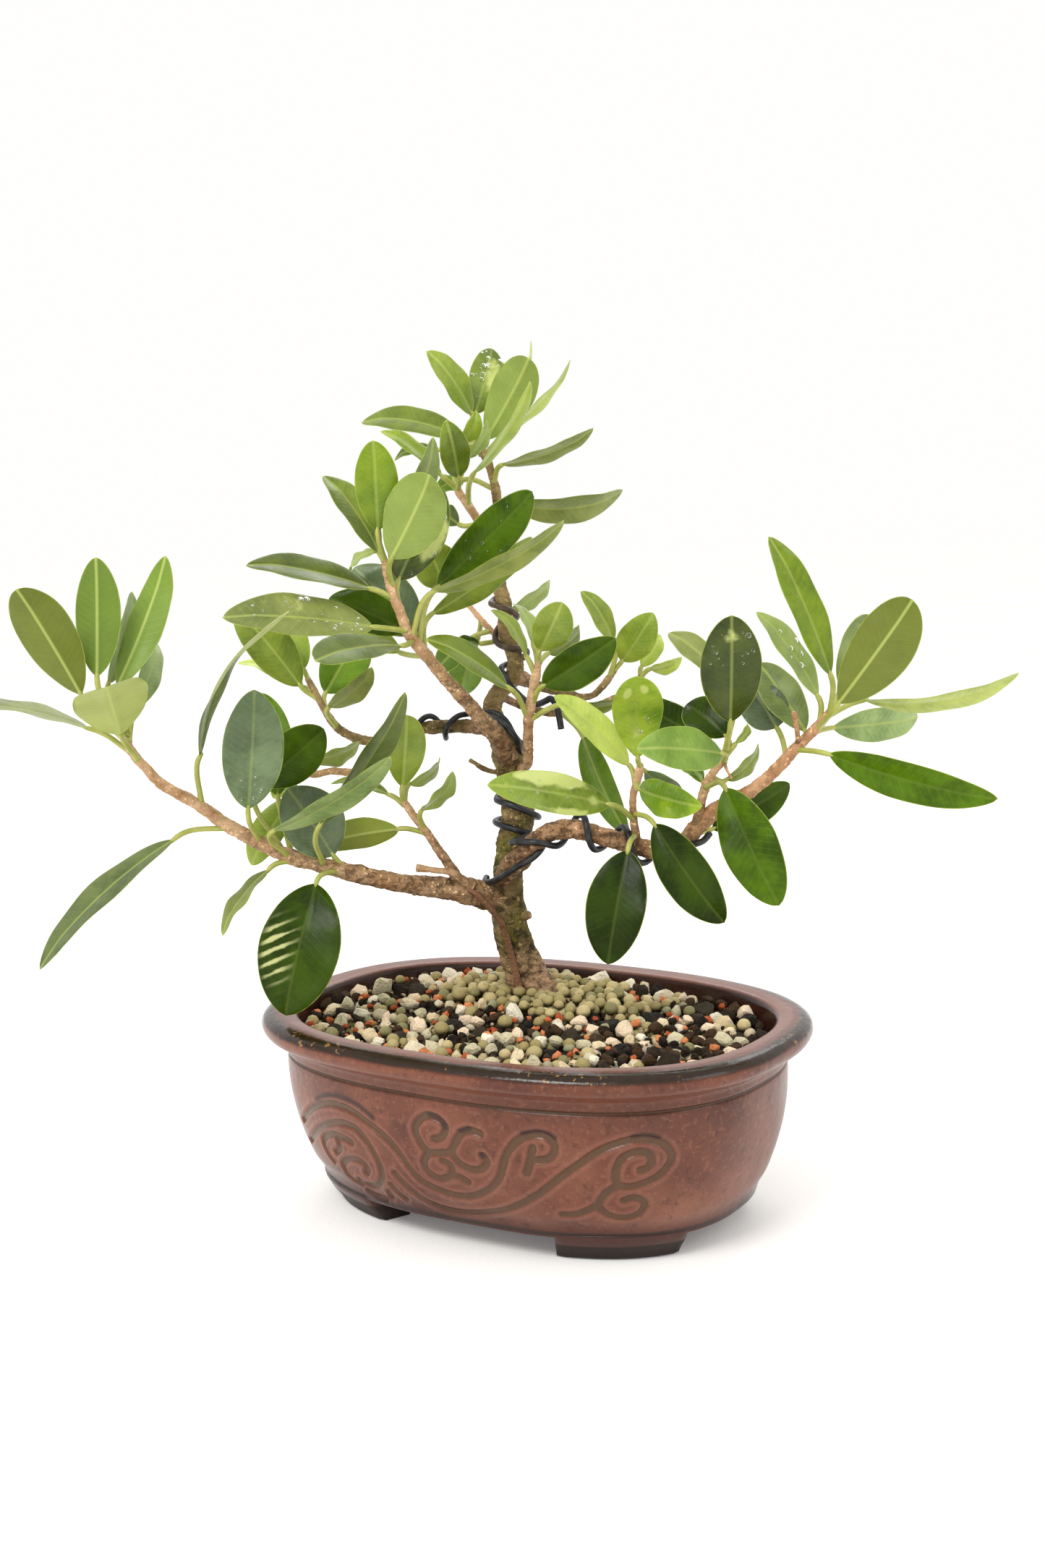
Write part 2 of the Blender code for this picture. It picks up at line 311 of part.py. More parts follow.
# Pot profile: (inset from the rim's outline, height), mm
OUTSIDE = [(15.75, 7.0), (13.95, 12.0), (12.0, 18.0), (10.2, 24.5), (8.8, 31.0), (7.6, 37.5), (6.95, 43.3),
           (7.5, 44.0), (6.6, 44.8), (6.0, 47.2), (3.6, 48.8), (1.0, 50.2), (0.0, 52.2), (0.35, 54.2),
           (2.2, 55.6), (5.4, 56.0), (8.6, 55.7), (9.9, 54.6)]
INSIDE = [(10.4, 52.0), (11.2, 48.6), (12.9, 40.0), (15.4, 30.0), (18.8, 21.0), (24.0, 14.0), (29.0, 12.0)]
FOOT_SECTION = [(19.4, 0.0), (17.0, 4.0), (15.0, 7.4), (17.6, 9.4), (26.5, 9.4), (27.5, 0.0)]
FOOT_ARC = (24.0, 67.0)    # part of each quarter of the outline that a foot takes, degrees
DRAINS = ((-31.0, 0.0), (31.0, 0.0))
DRAIN_RADIUS = 6.5
SCREEN_RADIUS, SCREEN_THICKNESS = 10.0, 1.2
SOIL_TOP = 48.3
DRESSING_EDGE, MOUND_RISE, MOUND_SPREAD = 50.6, 4.6, 20.0

COLOURS = {                # Principled colour, roughness, metallic
    "glaze": ((0.29, 0.15, 0.125), 0.28, 0.0), "soil": ((0.055, 0.042, 0.032), 0.95, 0.0),
    "dressing": ((0.26, 0.22, 0.17), 0.9, 0.0), "screen": ((0.02, 0.02, 0.022), 0.5, 0.0),
    "bark": ((0.33, 0.24, 0.165), 0.75, 0.0), "young_bark": ((0.30, 0.21, 0.11), 0.6, 0.0),
    "wire": ((0.045, 0.04, 0.038), 0.38, 0.7), "leaf_upper": ((0.05, 0.13, 0.035), 0.3, 0.0),
    "leaf_under": ((0.30, 0.38, 0.16), 0.45, 0.0),
}

for old in list(bpy.data.objects):
    bpy.data.objects.remove(old, do_unlink=True)
scene = bpy.context.scene
MATERIALS = {}
for slot, (colour, rough, metal) in COLOURS.items():
    mat = bpy.data.materials.new(slot)
    mat.use_nodes = True
    shader = mat.node_tree.nodes["Principled BSDF"]
    shader.inputs["Base Color"].default_value = (*colour, 1.0)
    shader.inputs["Roughness"].default_value = rough
    shader.inputs["Metallic"].default_value = metal
    MATERIALS[slot] = mat

plant = bpy.data.objects.new("plant", None)
scene.collection.objects.link(plant)


def add_object(name, slot, verts, faces, origin=None):
    """A closed solid from points in mm, with its origin at its own first point or the one given."""
    origin = Vector(origin if origin is not None else verts[0])
    mesh = bpy.data.meshes.new(name)
    mesh.from_pydata([(Vector(v) - origin) * MM for v in verts], [], faces)
    bm = bmesh.new()
    bm.from_mesh(mesh)
    bmesh.ops.recalc_face_normals(bm, faces=bm.faces)
    if bm.calc_volume(signed=True) < 0:
        bmesh.ops.reverse_faces(bm, faces=bm.faces)
    bm.to_mesh(mesh)
    bm.free()
    mesh.materials.append(MATERIALS[slot])
    ob = bpy.data.objects.new(name, mesh)
    ob.location = origin * MM
    ob.parent = plant
    scene.collection.objects.link(ob)
    return ob


def combine(ob, other, operation, solver="EXACT"):
    """Boolean of ob with other; other is used up."""
    bpy.context.view_layer.update()
    mod = ob.modifiers.new("combine", "BOOLEAN")
    mod.operation = operation
    mod.solver = solver
    mod.object = other
    bpy.context.view_layer.update()
    done = bpy.data.meshes.new_from_object(ob.evaluated_get(bpy.context.evaluated_depsgraph_get()))
    ob.modifiers.clear()
    old = ob.data
    ob.data = done
    bpy.data.meshes.remove(old)
    bpy.data.objects.remove(other, do_unlink=True)
    bm = bmesh.new()
    bm.from_mesh(ob.data)
    bmesh.ops.remove_doubles(bm, verts=bm.verts, dist=0.00002)
    bmesh.ops.dissolve_degenerate(bm, edges=bm.edges, dist=0.00001)
    bm.to_mesh(ob.data)
    bm.free()
    return ob


def skin(rings, flip=False):
    """Vertices and faces of a tube through equal rings, closed at both ends."""
    count = len(rings[0])
    verts = [p for ring in rings for p in ring]
    faces = []
    for i in range(len(rings) - 1):
        a, b = i * count, (i + 1) * count
        for j in range(count):
            k = (j + 1) % count
            faces.append((a + j, a + k, b + k, b + j))
    for ring, turn in ((0, -1), (len(rings) - 1, 1)):
        middle = sum((Vector(p) for p in rings[ring]), Vector()) / count
        verts.append(middle)
        centre = len(verts) - 1
        base = ring * count
        for j in range(count):
            k = (j + 1) % count
            faces.append((base + j, base + k, centre)[::turn])
    return verts, faces


def carried_frames(points, first=None):
    """Tangent and two cross directions at each point of a path, turned as little as possible."""
    n = len(points)
    tangents = []
    for i in range(n):
        t = points[min(i + 1, n - 1)] - points[max(i - 1, 0)]
        tangents.append(t.normalized())
    normal = first if first is not None else (EYE - points[0])
    out = []
    for t in tangents:
        normal = (normal - t * normal.dot(t)).normalized()
        out.append((t, normal, t.cross(normal)))
    return out


def wood_line(name):
    """Centre points and radii of a wood piece, mm."""
    pts = [at(u, v, d) for u, v, d, w in WOOD[name]]
    return pts, [w / 2 * unit_at(p) for p, (u, v, d, w) in zip(pts, WOOD[name])]


def wood_rings(name, sides, extra=0.0):
    pts, radii = wood_line(name)
    rings = []
    for (t, n, b), p, r in zip(carried_frames(pts), pts, radii):
        ring = []
        for j in range(sides):
            a = 2 * math.pi * j / sides
            ring.append(p + (n * math.cos(a) + b * math.sin(a)) * (r + extra))
        rings.append(ring)
    if extra:
        lead = carried_frames(pts)
        rings[0] = [p - lead[0][0] * extra for p in rings[0]]
        rings[-1] = [p + lead[-1][0] * extra for p in rings[-1]]
    return rings


SIDES = {"trunk": 10, "branch_left": 8, "branch_right": 8, "branch_front": 8, "branch_back_left": 8}


def add_wood(name, slot, extra=0.0):
    verts, faces = skin(wood_rings(name, SIDES.get(name, 6), extra))
    return add_object(name, slot, verts, faces)


# ---------------------------------------------------------------- pot, screens, soil, dressing
def outline(inset, z, steps=PLAN_STEPS, arc=None):
    """Points of the pot's plan outline, pulled in by inset, at height z."""
    a, b = POT_LENGTH / 2 - inset, POT_WIDTH / 2 - inset
    lo, hi = (math.radians(x) for x in arc) if arc else (0.0, 2 * math.pi)
    out = []
    for i in range(steps + 1 if arc else steps):
        t = lo + (hi - lo) * i / steps
        c, s = math.cos(t), math.sin(t)
        out.append(Vector((a * math.copysign(abs(c) ** (2 / POT_POWER), c),
                           b * math.copysign(abs(s) ** (2 / POT_POWER), s), z)))
    return out


def plate(name, slot, centre, radius, low, high, steps=16):
    rings = [[Vector((centre[0] + radius * math.cos(2 * math.pi * i / steps),
                      centre[1] + radius * math.sin(2 * math.pi * i / steps), z)) for i in range(steps)]
             for z in (low, high)]
    verts, faces = skin(rings)
    return add_object(name, slot, verts, faces, (centre[0], centre[1], low))


def add_pot():
    rings = [outline(inset, z) for inset, z in OUTSIDE + INSIDE]
    verts, faces = skin(rings)
    pot = add_object("pot", "glaze", verts, faces, (0, 0, 0))
    for quarter in range(4):
        lo, hi = FOOT_ARC
        arc = (lo, hi) if quarter in (0, 2) else (90 - hi, 90 - lo)
        path = [outline(i, z, 7, (quarter * 90 + arc[0], quarter * 90 + arc[1])) for i, z in FOOT_SECTION]
        sections = [[line[k] for line in path] for k in range(8)]
        verts, faces = skin(sections)
        combine(pot, add_object("foot", "glaze", verts, faces), "UNION")
    for centre in DRAINS:
        combine(pot, plate("drain", "glaze", centre, DRAIN_RADIUS, 3.0, FLOOR_TOP + 3.0), "DIFFERENCE")
    return pot


def inside_inset(z):
    """Inset of the pot's inner wall at height z."""
    for (i0, z0), (i1, z1) in zip(INSIDE, INSIDE[1:]):
        if z1 <= z <= z0:
            return i0 + (i1 - i0) * (z0 - z) / (z0 - z1)
    return INSIDE[0][0] if z > INSIDE[0][1] else INSIDE[-1][0]


def add_soil():
    levels = [FLOOR_TOP + GAP, 14.3, 21.0, 30.0, 40.0, SOIL_TOP]
    rings = [outline(inside_inset(max(z - GAP, FLOOR_TOP)) + GAP + (0.5 if z < 13 else 0.0), z) for z in levels]
    verts, faces = skin(rings)
    soil = add_object("soil", "soil", verts, faces, (0, 0, levels[0]))
    for centre in DRAINS:
        pocket = plate("pocket", "soil", centre, SCREEN_RADIUS + GAP, FLOOR_TOP - 2.0,
                       FLOOR_TOP + SCREEN_THICKNESS + 2 * GAP)
        combine(soil, pocket, "DIFFERENCE")
    combine(soil, add_wood("trunk", "soil", GAP + 0.05), "DIFFERENCE")
    return soil


def dressing_height(x, y):
    away = ((x - FOOT.x) / 1.5) ** 2 + (y - FOOT.y) ** 2
    ripple = 0.35 * math.sin(x * 0.31) * math.cos(y * 0.37)
    return DRESSING_EDGE + MOUND_RISE * math.exp(-away / (2 * MOUND_SPREAD ** 2)) + ripple


def add_dressing():
    low = SOIL_TOP + GAP
    rings = [outline(60.0, low), outline(inside_inset(low) + GAP, low)]
    edge = inside_inset(DRESSING_EDGE) + GAP + 0.15
    for inset in (edge, edge + 4, edge + 10, edge + 17, edge + 24, edge + 32, edge + 40):
        ring = outline(inset, 0.0)
        rings.append([Vector((p.x, p.y, dressing_height(p.x, p.y) - (0.9 if inset == edge else 0.0)))
                      for p in ring])
    ring = [Vector((p.x * 0.2, p.y * 0.2, low)) for p in outline(edge, 0.0)]
    rings[0] = ring
    verts, faces = skin(rings)
    dressing = add_object("top_dressing", "dressing", verts, faces, (0, 0, low))
    combine(dressing, add_wood("trunk", "dressing", GAP + 0.05), "DIFFERENCE")
    return dressing


# ---------------------------------------------------------------- leaves
STALK_STEPS = (0.0, 0.4, 0.75)
BLADE_STEPS = (0.0, 0.12, 0.3, 0.5, 0.7, 0.88, 1.0)


def distance_to_wood(p, name):
    """Distance in mm from p to the bark of one wood piece, less than 0 inside it."""
    pts, radii = wood_line(name)
    best = 1e9
    for a, b, ra, rb in zip(pts, pts[1:], radii, radii[1:]):
        ab = b - a
        f = min(max((p - a).dot(ab) / ab.length_squared, 0.0), 1.0)
        best = min(best, (p - a - ab * f).length - (ra + (rb - ra) * f))
    return best


def leaf_rings(name, free):
    s = leaf_shape(name)
    # the blade
    rings = []
    for t in BLADE_STEPS:
        h = max(s["half"] * breadth(t, s["peak"]), PETIOLE if t < 0.5 else 0.4) / max(s["half"], 0.01)
        thick = BLADE * (0.5 + 0.5 * min(1.0, 4 * t * (1 - t)))
        bow = 4 * t * (1 - t)
        centre = s["base"] + s["axis"] * (s["length"] * t) + s["normal"] * (s["bend"] * bow) \
            + s["side"] * (s["sway"] * bow)
        rise, reach = math.sin(s["fold"]) * h * s["half"], math.cos(s["fold"]) * h * s["half"]
        rings.append([centre + s["normal"] * (thick / 2), centre + s["normal"] * rise + s["side"] * reach,
                      centre - s["normal"] * (thick / 2), centre + s["normal"] * rise - s["side"] * reach])
    # the stalk, carried back from the blade
    def stalk(start_f):
        fs = [start_f + (1 - start_f) * f for f in STALK_STEPS]
        pts = [stalk_point(s, f) for f in fs]
        normal = s["normal"]
        out = []
        for i in range(len(fs) - 1, -1, -1):
            ahead = stalk_point(s, min(fs[i] + 0.04, 1.0)) - stalk_point(s, max(fs[i] - 0.04, 0.0))
            t = ahead.normalized()
            normal = (normal - t * normal.dot(t)).normalized()
            side = t.cross(normal)
            out.append([pts[i] + normal * PETIOLE, pts[i] + side * PETIOLE,
                        pts[i] - normal * PETIOLE, pts[i] - side * PETIOLE])
        return out[::-1]
    first = 0.0
    if free:
        near = min((w for w in WOOD), key=lambda w: distance_to_wood(s["root"], w))
        while first < 0.9:
            ring = stalk(first)[0]
            if min(distance_to_wood(p, near) for p in ring) > GAP + 0.1:
                break
            first += 0.02
    return stalk(first) + rings


def add_leaf(name, free=True):
    slot = "leaf_under" if 90 < LEAVES[name][5] < 270 else "leaf_upper"
    verts, faces = skin(leaf_rings(name, free))
    return add_object(name, slot, verts, faces)


# ---------------------------------------------------------------- training wire
# A place on a wire is (wood piece, place along its table of points, turns about it): a whole turn
# faces the station. Off the bark a place is given by its survey instead: (u, v, d).
WIRES = {
    "wire_lower": [("trunk", 14.1, -0.42), ("trunk", 13.6, -0.25), ("trunk", 13.0, 0.0), ("trunk", 12.5, 0.25),
                   ("trunk", 12.2, 0.5), ("trunk", 12.0, 0.75), ("trunk", 11.8, 1.0), ("trunk", 11.7, 1.12),
                   ("branch_right", 3.0, -0.26), ("branch_right", 4.2, 0.0), ("branch_right", 5.3, 0.25),
                   ("branch_right", 6.2, 0.5), ("branch_right", 7.0, 0.75), ("branch_right", 7.7, 1.0),
                   ("branch_right", 8.3, 1.25), ("branch_right", 9.8, 1.9), ("branch_right", 10.8, 2.3),
                   ("branch_right", 12.4, 2.9), ("branch_right", 14.2, 3.3)],
    "wire_upper": [("trunk", 26.9, -1.4), ("trunk", 26.1, -1.0), ("trunk", 25.3, -0.5), ("trunk", 23.6, 0.0),
                   ("trunk", 23.1, 0.25), ("trunk", 22.6, 0.5), ("trunk", 21.9, 0.75), ("trunk", 20.6, 1.0),
                   (727, 969, 0), (742, 974, -4), (755, 969, -7), (762, 966, -8), (769, 975, -9), (773, 990, -9),
                   (776, 1008, -9)],
    "wire_back_left": [("branch_back_left", 5.7, -1.55), ("branch_back_left", 4.7, -1.0),
                       ("branch_back_left", 2.7, 0.0), ("branch_back_left", 2.0, 0.25), (659, 986, 9), (664, 986, 3.6), (682, 985, 1.9),
                       (699, 996, 0.2), (712, 1018, -0.8), (722, 1029, 1.6)],
}
WIRE_SIDES = 6


def wood_spot(name, place, turns, out):
    """A point out mm off the bark, at a place along a wood piece and turned about it."""
    table = WOOD[name]
    here = smooth(table, place)
    p, q = at(*here[:3]), at(*smooth(table, min(place + 0.1, len(table) - 1.001))[:3])
    o = at(*smooth(table, max(place - 0.1, 0.0))[:3])
    t = (q - o).normalized()
    n = EYE - p
    n = (n - t * n.dot(t)).normalized()
    a = 2 * math.pi * turns
    r = here[3] / 2 * unit_at(p) + out
    return p + (n * math.cos(a) + t.cross(n) * math.sin(a)) * r


def wire_points(name):
    spots = []
    route = WIRES[name]
    off = WIRE + GAP + 0.25
    for i, here in enumerate(route):
        on_wood = isinstance(here[0], str)
        spots.append(wood_spot(*here, off) if on_wood else at(*here))
        if i + 1 < len(route) and on_wood and route[i + 1][0] == here[0]:
            there = route[i + 1]
            count = max(1, math.ceil(abs(there[2] - here[2]) * 9))
            for k in range(1, count):
                f = k / count
                spots.append(wood_spot(here[0], here[1] + (there[1] - here[1]) * f,
                                       here[2] + (there[2] - here[2]) * f, off))
    return spots


def add_wire(name):
    pts = wire_points(name)
    rings = []
    for (t, n, b), p in zip(carried_frames(pts), pts):
        rings.append([p + (n * math.cos(2 * math.pi * j / WIRE_SIDES)
                           + b * math.sin(2 * math.pi * j / WIRE_SIDES)) * WIRE for j in range(WIRE_SIDES)])
    verts, faces = skin(rings)
    return add_object(name, "wire", verts, faces)


# ---------------------------------------------------------------- build
add_pot()
for number, centre in enumerate(DRAINS, 1):
    plate("drain_screen_%d" % number, "screen", centre, SCREEN_RADIUS, FLOOR_TOP + GAP,
          FLOOR_TOP + GAP + SCREEN_THICKNESS)
add_soil()
add_dressing()

YOUNG = ("twig", "branch_right")
for name in WOOD:
    if name in GROWN_TOGETHER:
        continue
    wood = add_wood(name, "young_bark" if name.startswith(YOUNG) else "bark")
    for extra, host in GROWN_TOGETHER.items():
        if host == name:
            combine(wood, add_wood(extra, "bark"), "UNION")
    for leaf, entry in LEAVES.items():
        if entry[0] == name:
            combine(wood, add_leaf(leaf, free=False), "UNION")
    if name in PARENT:
        combine(wood, add_wood(PARENT[name], "bark", GAP), "DIFFERENCE")
for leaf, entry in LEAVES.items():
    if entry[0] == leaf:
        add_leaf(leaf)
for name in WIRES:
    add_wire(name)

# stand the whole plant so that the middle of its footprint is the origin
bpy.context.view_layer.update()
solids = [ob for ob in scene.objects if ob.type == "MESH"]
corners = [ob.matrix_world @ v.co for ob in solids for v in ob.data.vertices]
plant.location = (-(min(c.x for c in corners) + max(c.x for c in corners)) / 2,
                  -(min(c.y for c in corners) + max(c.y for c in corners)) / 2, 0.0)
bpy.context.view_layer.update()
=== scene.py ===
"""Looks for the potted bonsai: a small fig tree with wired branches in a glazed oval pot."""
import math
import random

import bmesh
import bpy
import numpy as np
from mathutils import Matrix, Vector, noise


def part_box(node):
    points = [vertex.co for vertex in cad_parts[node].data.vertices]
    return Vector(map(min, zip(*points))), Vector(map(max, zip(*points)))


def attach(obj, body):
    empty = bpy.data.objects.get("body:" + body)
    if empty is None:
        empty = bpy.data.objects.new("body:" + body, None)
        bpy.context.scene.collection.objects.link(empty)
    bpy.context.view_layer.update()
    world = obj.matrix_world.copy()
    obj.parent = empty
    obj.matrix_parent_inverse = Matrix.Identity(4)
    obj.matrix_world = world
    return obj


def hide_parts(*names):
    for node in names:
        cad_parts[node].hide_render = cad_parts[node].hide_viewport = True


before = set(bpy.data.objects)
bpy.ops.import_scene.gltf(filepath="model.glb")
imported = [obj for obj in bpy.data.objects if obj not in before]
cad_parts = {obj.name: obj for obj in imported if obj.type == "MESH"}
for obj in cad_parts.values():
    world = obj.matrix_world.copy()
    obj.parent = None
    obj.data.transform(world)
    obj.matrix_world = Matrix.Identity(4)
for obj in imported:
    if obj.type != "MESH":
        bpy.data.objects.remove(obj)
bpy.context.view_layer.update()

# ---------------------------------------------------------------- driving dimensions (mm)
POT_LENGTH, POT_WIDTH, POT_HEIGHT = 160.0, 117.0, 56.0   # over the rim; feet to rim top
POT_POWER = 2.5            # superellipse power of the plan: 2 is an ellipse, more is squarer
FOOT_HEIGHT = 7.0
FLOOR_TOP = 12.0           # inside floor of the pot, above the surface it stands on
GAP = 0.3                  # clearance between pieces that touch

# The tree was surveyed on an upright drawing grid, seen from one station in front of it.
# A place is (u, v, d): u across and v down on the grid, d in mm behind (+) or in front (-)
# of the upright plane through the foot of the trunk.
STATION = (290.6, -456.9, 199.3)         # mm, in the pot's frame
STATION_HEADING, STATION_DIP, STATION_TILT = -32.48, 8.28, -1.99   # degrees
GRID_RANGE = 2700.0                      # grid units per unit of distance
GRID_CENTRE = (722.5, 1084.0)
TRUNK_FOOT = (-13.0, 22.0)               # plan place of the trunk in the pot's frame


def _station_axes():
    h, e, r = (math.radians(a) for a in (STATION_HEADING, STATION_DIP, STATION_TILT))
    ahead = Vector((math.sin(h) * math.cos(e), math.cos(h) * math.cos(e), -math.sin(e)))
    across = Vector((math.cos(h), -math.sin(h), 0.0))
    up = across.cross(ahead)
    return (across * math.cos(r) + up * math.sin(r),
            up * math.cos(r) - across * math.sin(r), ahead)


ACROSS, UPWARD, AHEAD = _station_axes()
EYE = Vector(STATION)
LEVEL = Vector((AHEAD.x, AHEAD.y, 0.0)).normalized()
FOOT = Vector((TRUNK_FOOT[0], TRUNK_FOOT[1], 0.0))


def at(u, v, d):
    """The point in mm that the grid shows at (u, v), d mm behind the trunk's plane."""
    ray = AHEAD * GRID_RANGE + ACROSS * (u - GRID_CENTRE[0]) - UPWARD * (v - GRID_CENTRE[1])
    t = ((FOOT + LEVEL * d - EYE).dot(LEVEL)) / ray.dot(LEVEL)
    return EYE + ray * t


def unit_at(p):
    """Millimetres that one grid unit covers at the point p."""
    return (p - EYE).dot(AHEAD) / GRID_RANGE


def smooth(points, t):
    """Catmull-Rom through equal-length tuples, t from 0 to len(points) - 1."""
    n = len(points)
    i = min(int(t), n - 2)
    f = t - i
    p0, p1 = points[max(i - 1, 0)], points[i]
    p2, p3 = points[i + 1], points[min(i + 2, n - 1)]
    return tuple(0.5 * (2 * b + (c - a) * f + (2 * a - 5 * b + 4 * c - d) * f * f
                        + (3 * b - a - 3 * c + d) * f ** 3) for a, b, c, d in zip(p0, p1, p2, p3))


# ---------------------------------------------------------------- wood: (u, v, d, thickness in grid units)
WOOD = {
    "trunk": [(749, 1426, 1, 46), (746, 1408, 0, 62), (743, 1388, 0, 66), (740, 1370, 0, 64), (732, 1350, 0, 58),
              (722, 1328, -1, 52), (713, 1305, -1, 50), (706, 1280, -2, 49), (704, 1260, -2, 48), (702, 1235, -2, 46),
              (703, 1203, -2, 43), (708, 1172, -1, 43), (714, 1140, 0, 44), (716, 1115, 0, 43), (712, 1090, 1, 40),
              (706, 1065, 2, 40), (701, 1042, 3, 42), (695, 1018, 5, 38), (683, 996, 7, 30), (681, 975, 8, 27),
              (691, 956, 9, 24), (706, 941, 10, 24), (712, 926, 10, 23), (712, 908, 10, 21), (704, 888, 10, 19),
              (698, 868, 10, 18), (698, 845, 10, 19), (694, 822, 11, 20), (689, 802, 11, 20), (685, 782, 11, 18),
              (684, 758, 10, 16), (685, 730, 9, 14), (687, 705, 8, 12), (686, 682, 7, 13), (681, 658, 6, 11),
              (673, 636, 5, 11), (665, 620, 4, 11), (660, 607, 4, 9)],
    "branch_left": [(695, 1243, -3, 38), (672, 1238, -6, 39), (650, 1233, -8, 37), (625, 1229, -9, 32),
                    (598, 1226, -10, 29), (560, 1222, -11, 26), (520, 1214, -12, 25), (480, 1205, -13, 24),
                    (440, 1195, -14, 22), (400, 1184, -15, 21), (370, 1171, -16, 20), (340, 1155, -17, 20),
                    (310, 1138, -18, 19), (275, 1113, -20, 17), (245, 1097, -21, 16), (222, 1083, -22, 15),
                    (200, 1060, -23, 13), (185, 1043, -24, 13), (172, 1020, -25, 11)],
    "stub_left": [(652, 1226, -11, 16), (625, 1207, -14, 10), (600, 1203, -15, 9), (576, 1200, -16, 11)],
    "dry_twig": [(704, 1067, 0, 9), (682, 1067, -4, 7), (667, 1062, -6, 7), (658, 1056, -7, 6), (650, 1051, -8, 6)],
    "branch_front": [(702, 1044, -1, 30), (690, 1022, -8, 27), (672, 1001, -12, 23), (655, 982, -14, 20),
                     (640, 965, -16, 19), (622, 945, -18, 18), (605, 925, -20, 17), (590, 907, -21, 17),
                     (576, 890, -23, 16), (565, 876, -24, 16), (558, 858, -25, 15), (551, 840, -26, 14),
                     (543, 822, -27, 13), (538, 805, -28, 12), (535, 790, -29, 12), (532, 774, -29, 10)],
    "branch_back_left": [(688, 1010, 7, 20), (668, 1006, 12, 20), (645, 1004, 15, 19), (620, 1004, 18, 19),
                         (598, 1006, 20, 18), (576, 1006, 22, 17), (550, 1012, 24, 15), (526, 1024, 26, 13),
                         (506, 1024, 27, 13), (488, 1019, 28, 13), (470, 1009, 30, 12), (457, 994, 31, 11),
                         (447, 978, 32, 10), (440, 965, 33, 10), (432, 950, 34, 9), (425, 938, 35, 8)],
    "twig_back_low": [(549, 1012, 24, 11), (542, 1034, 23, 11), (530, 1055, 22, 11), (510, 1067, 21, 11),
                      (485, 1068, 20, 11), (460, 1066, 19, 10), (440, 1070, 19, 10), (428, 1070, 18, 9),
                      (412, 1058, 18, 8)],
    "twig_left_upright": [(634, 1218, -9, 15), (618, 1192, -9, 13), (601, 1167, -9, 12), (588, 1148, -9, 11),
                          (575, 1132, -9, 11), (565, 1118, -9, 11), (557, 1107, -9, 9)],
    "twig_apex_left": [(684, 752, 10, 13), (670, 731, 6, 12), (656, 712, 3, 12), (646, 696, 1, 12),
                       (636, 683, 0, 11), (631, 672, 0, 9)],
    "twig_back": [(711, 905, 10, 11), (700, 892, 14, 9), (690, 881, 17, 9), (680, 873, 19, 8), (668, 860, 21, 8),
                  (655, 845, 23, 7), (646, 834, 24, 7), (640, 825, 25, 6)],
    "twig_upright": [(718, 1068, 1, 15), (730, 1050, -5, 15), (730, 1020, -10, 14), (731, 995, -13, 14),
                     (735, 965, -15, 13), (740, 940, -17, 14), (743, 924, -18, 10), (745, 912, -18, 8)],
    "branch_back_right": [(712, 935, 10, 18), (728, 941, 14, 17), (744, 948, 17, 14), (760, 953, 19, 12),
                          (775, 957, 21, 11), (790, 960, 23, 11), (805, 964, 25, 10), (820, 961, 27, 9),
                          (832, 950, 28, 10), (842, 938, 29, 10), (851, 924, 29, 8)],
    "twig_back_right_low": [(690, 962, 9, 10), (708, 970, 13, 10), (724, 977, 15, 10), (741, 981, 16, 10),
                            (760, 986, 18, 10), (778, 985, 20, 9), (800, 981, 22, 9), (830, 973, 24, 8),
                            (860, 959, 27, 8), (879, 945, 29, 8), (886, 934, 30, 7)],
    "branch_right": [(704, 1214, -3, 24), (712, 1196, -10, 27), (723, 1180, -14, 28), (741, 1163, -17, 28),
                     (760, 1151, -18, 27), (780, 1146, -19, 27), (800, 1147, -20, 27), (822, 1153, -21, 26),
                     (846, 1160, -22, 26), (872, 1167, -23, 26), (900, 1175, -24, 26), (925, 1175, -24, 24),
                     (945, 1164, -25, 23), (963, 1145, -25, 24), (985, 1123, -26, 22), (1010, 1108, -27, 20),
                     (1040, 1092, -28, 18), (1065, 1072, -29, 17), (1085, 1051, -30, 17), (1105, 1030, -31, 15),
                     (1130, 1005, -32, 14), (1149, 982, -33, 9)],
    "twig_right_one": [(877, 1167, -23, 15), (878, 1150, -25, 12), (876, 1130, -26, 11), (875, 1110, -27, 10),
                       (876, 1095, -27, 10), (880, 1082, -28, 11), (884, 1066, -28, 12), (886, 1055, -28, 8)],
    "twig_right_two": [(960, 1149, -25, 14), (965, 1135, -26, 14), (968, 1115, -27, 13), (973, 1095, -27, 13),
                       (980, 1078, -28, 12), (990, 1063, -29, 11), (1000, 1053, -29, 9), (1004, 1040, -29, 7)],
    "bare_petiole": [(1104, 1032, -31, 8), (1102, 1010, -34, 7), (1098, 985, -36, 8)],
    "bud_sheath": [(1000, 1052, -29, 6), (1006, 1066, -32, 4), (1012, 1077, -33, 4)],
}
# which wood each piece grows from, and short pieces that belong to the same node as their parent
PARENT = {"branch_left": "trunk", "branch_front": "trunk", "branch_back_left": "trunk", "branch_right": "trunk",
          "twig_back_low": "branch_back_left", "twig_left_upright": "branch_left", "twig_apex_left": "trunk",
          "twig_back": "trunk", "twig_upright": "trunk", "branch_back_right": "trunk",
          "twig_back_right_low": "trunk", "twig_right_one": "branch_right", "twig_right_two": "branch_right"}
GROWN_TOGETHER = {"stub_left": "branch_left", "dry_twig": "trunk", "bare_petiole": "branch_right",
                  "bud_sheath": "twig_right_two"}

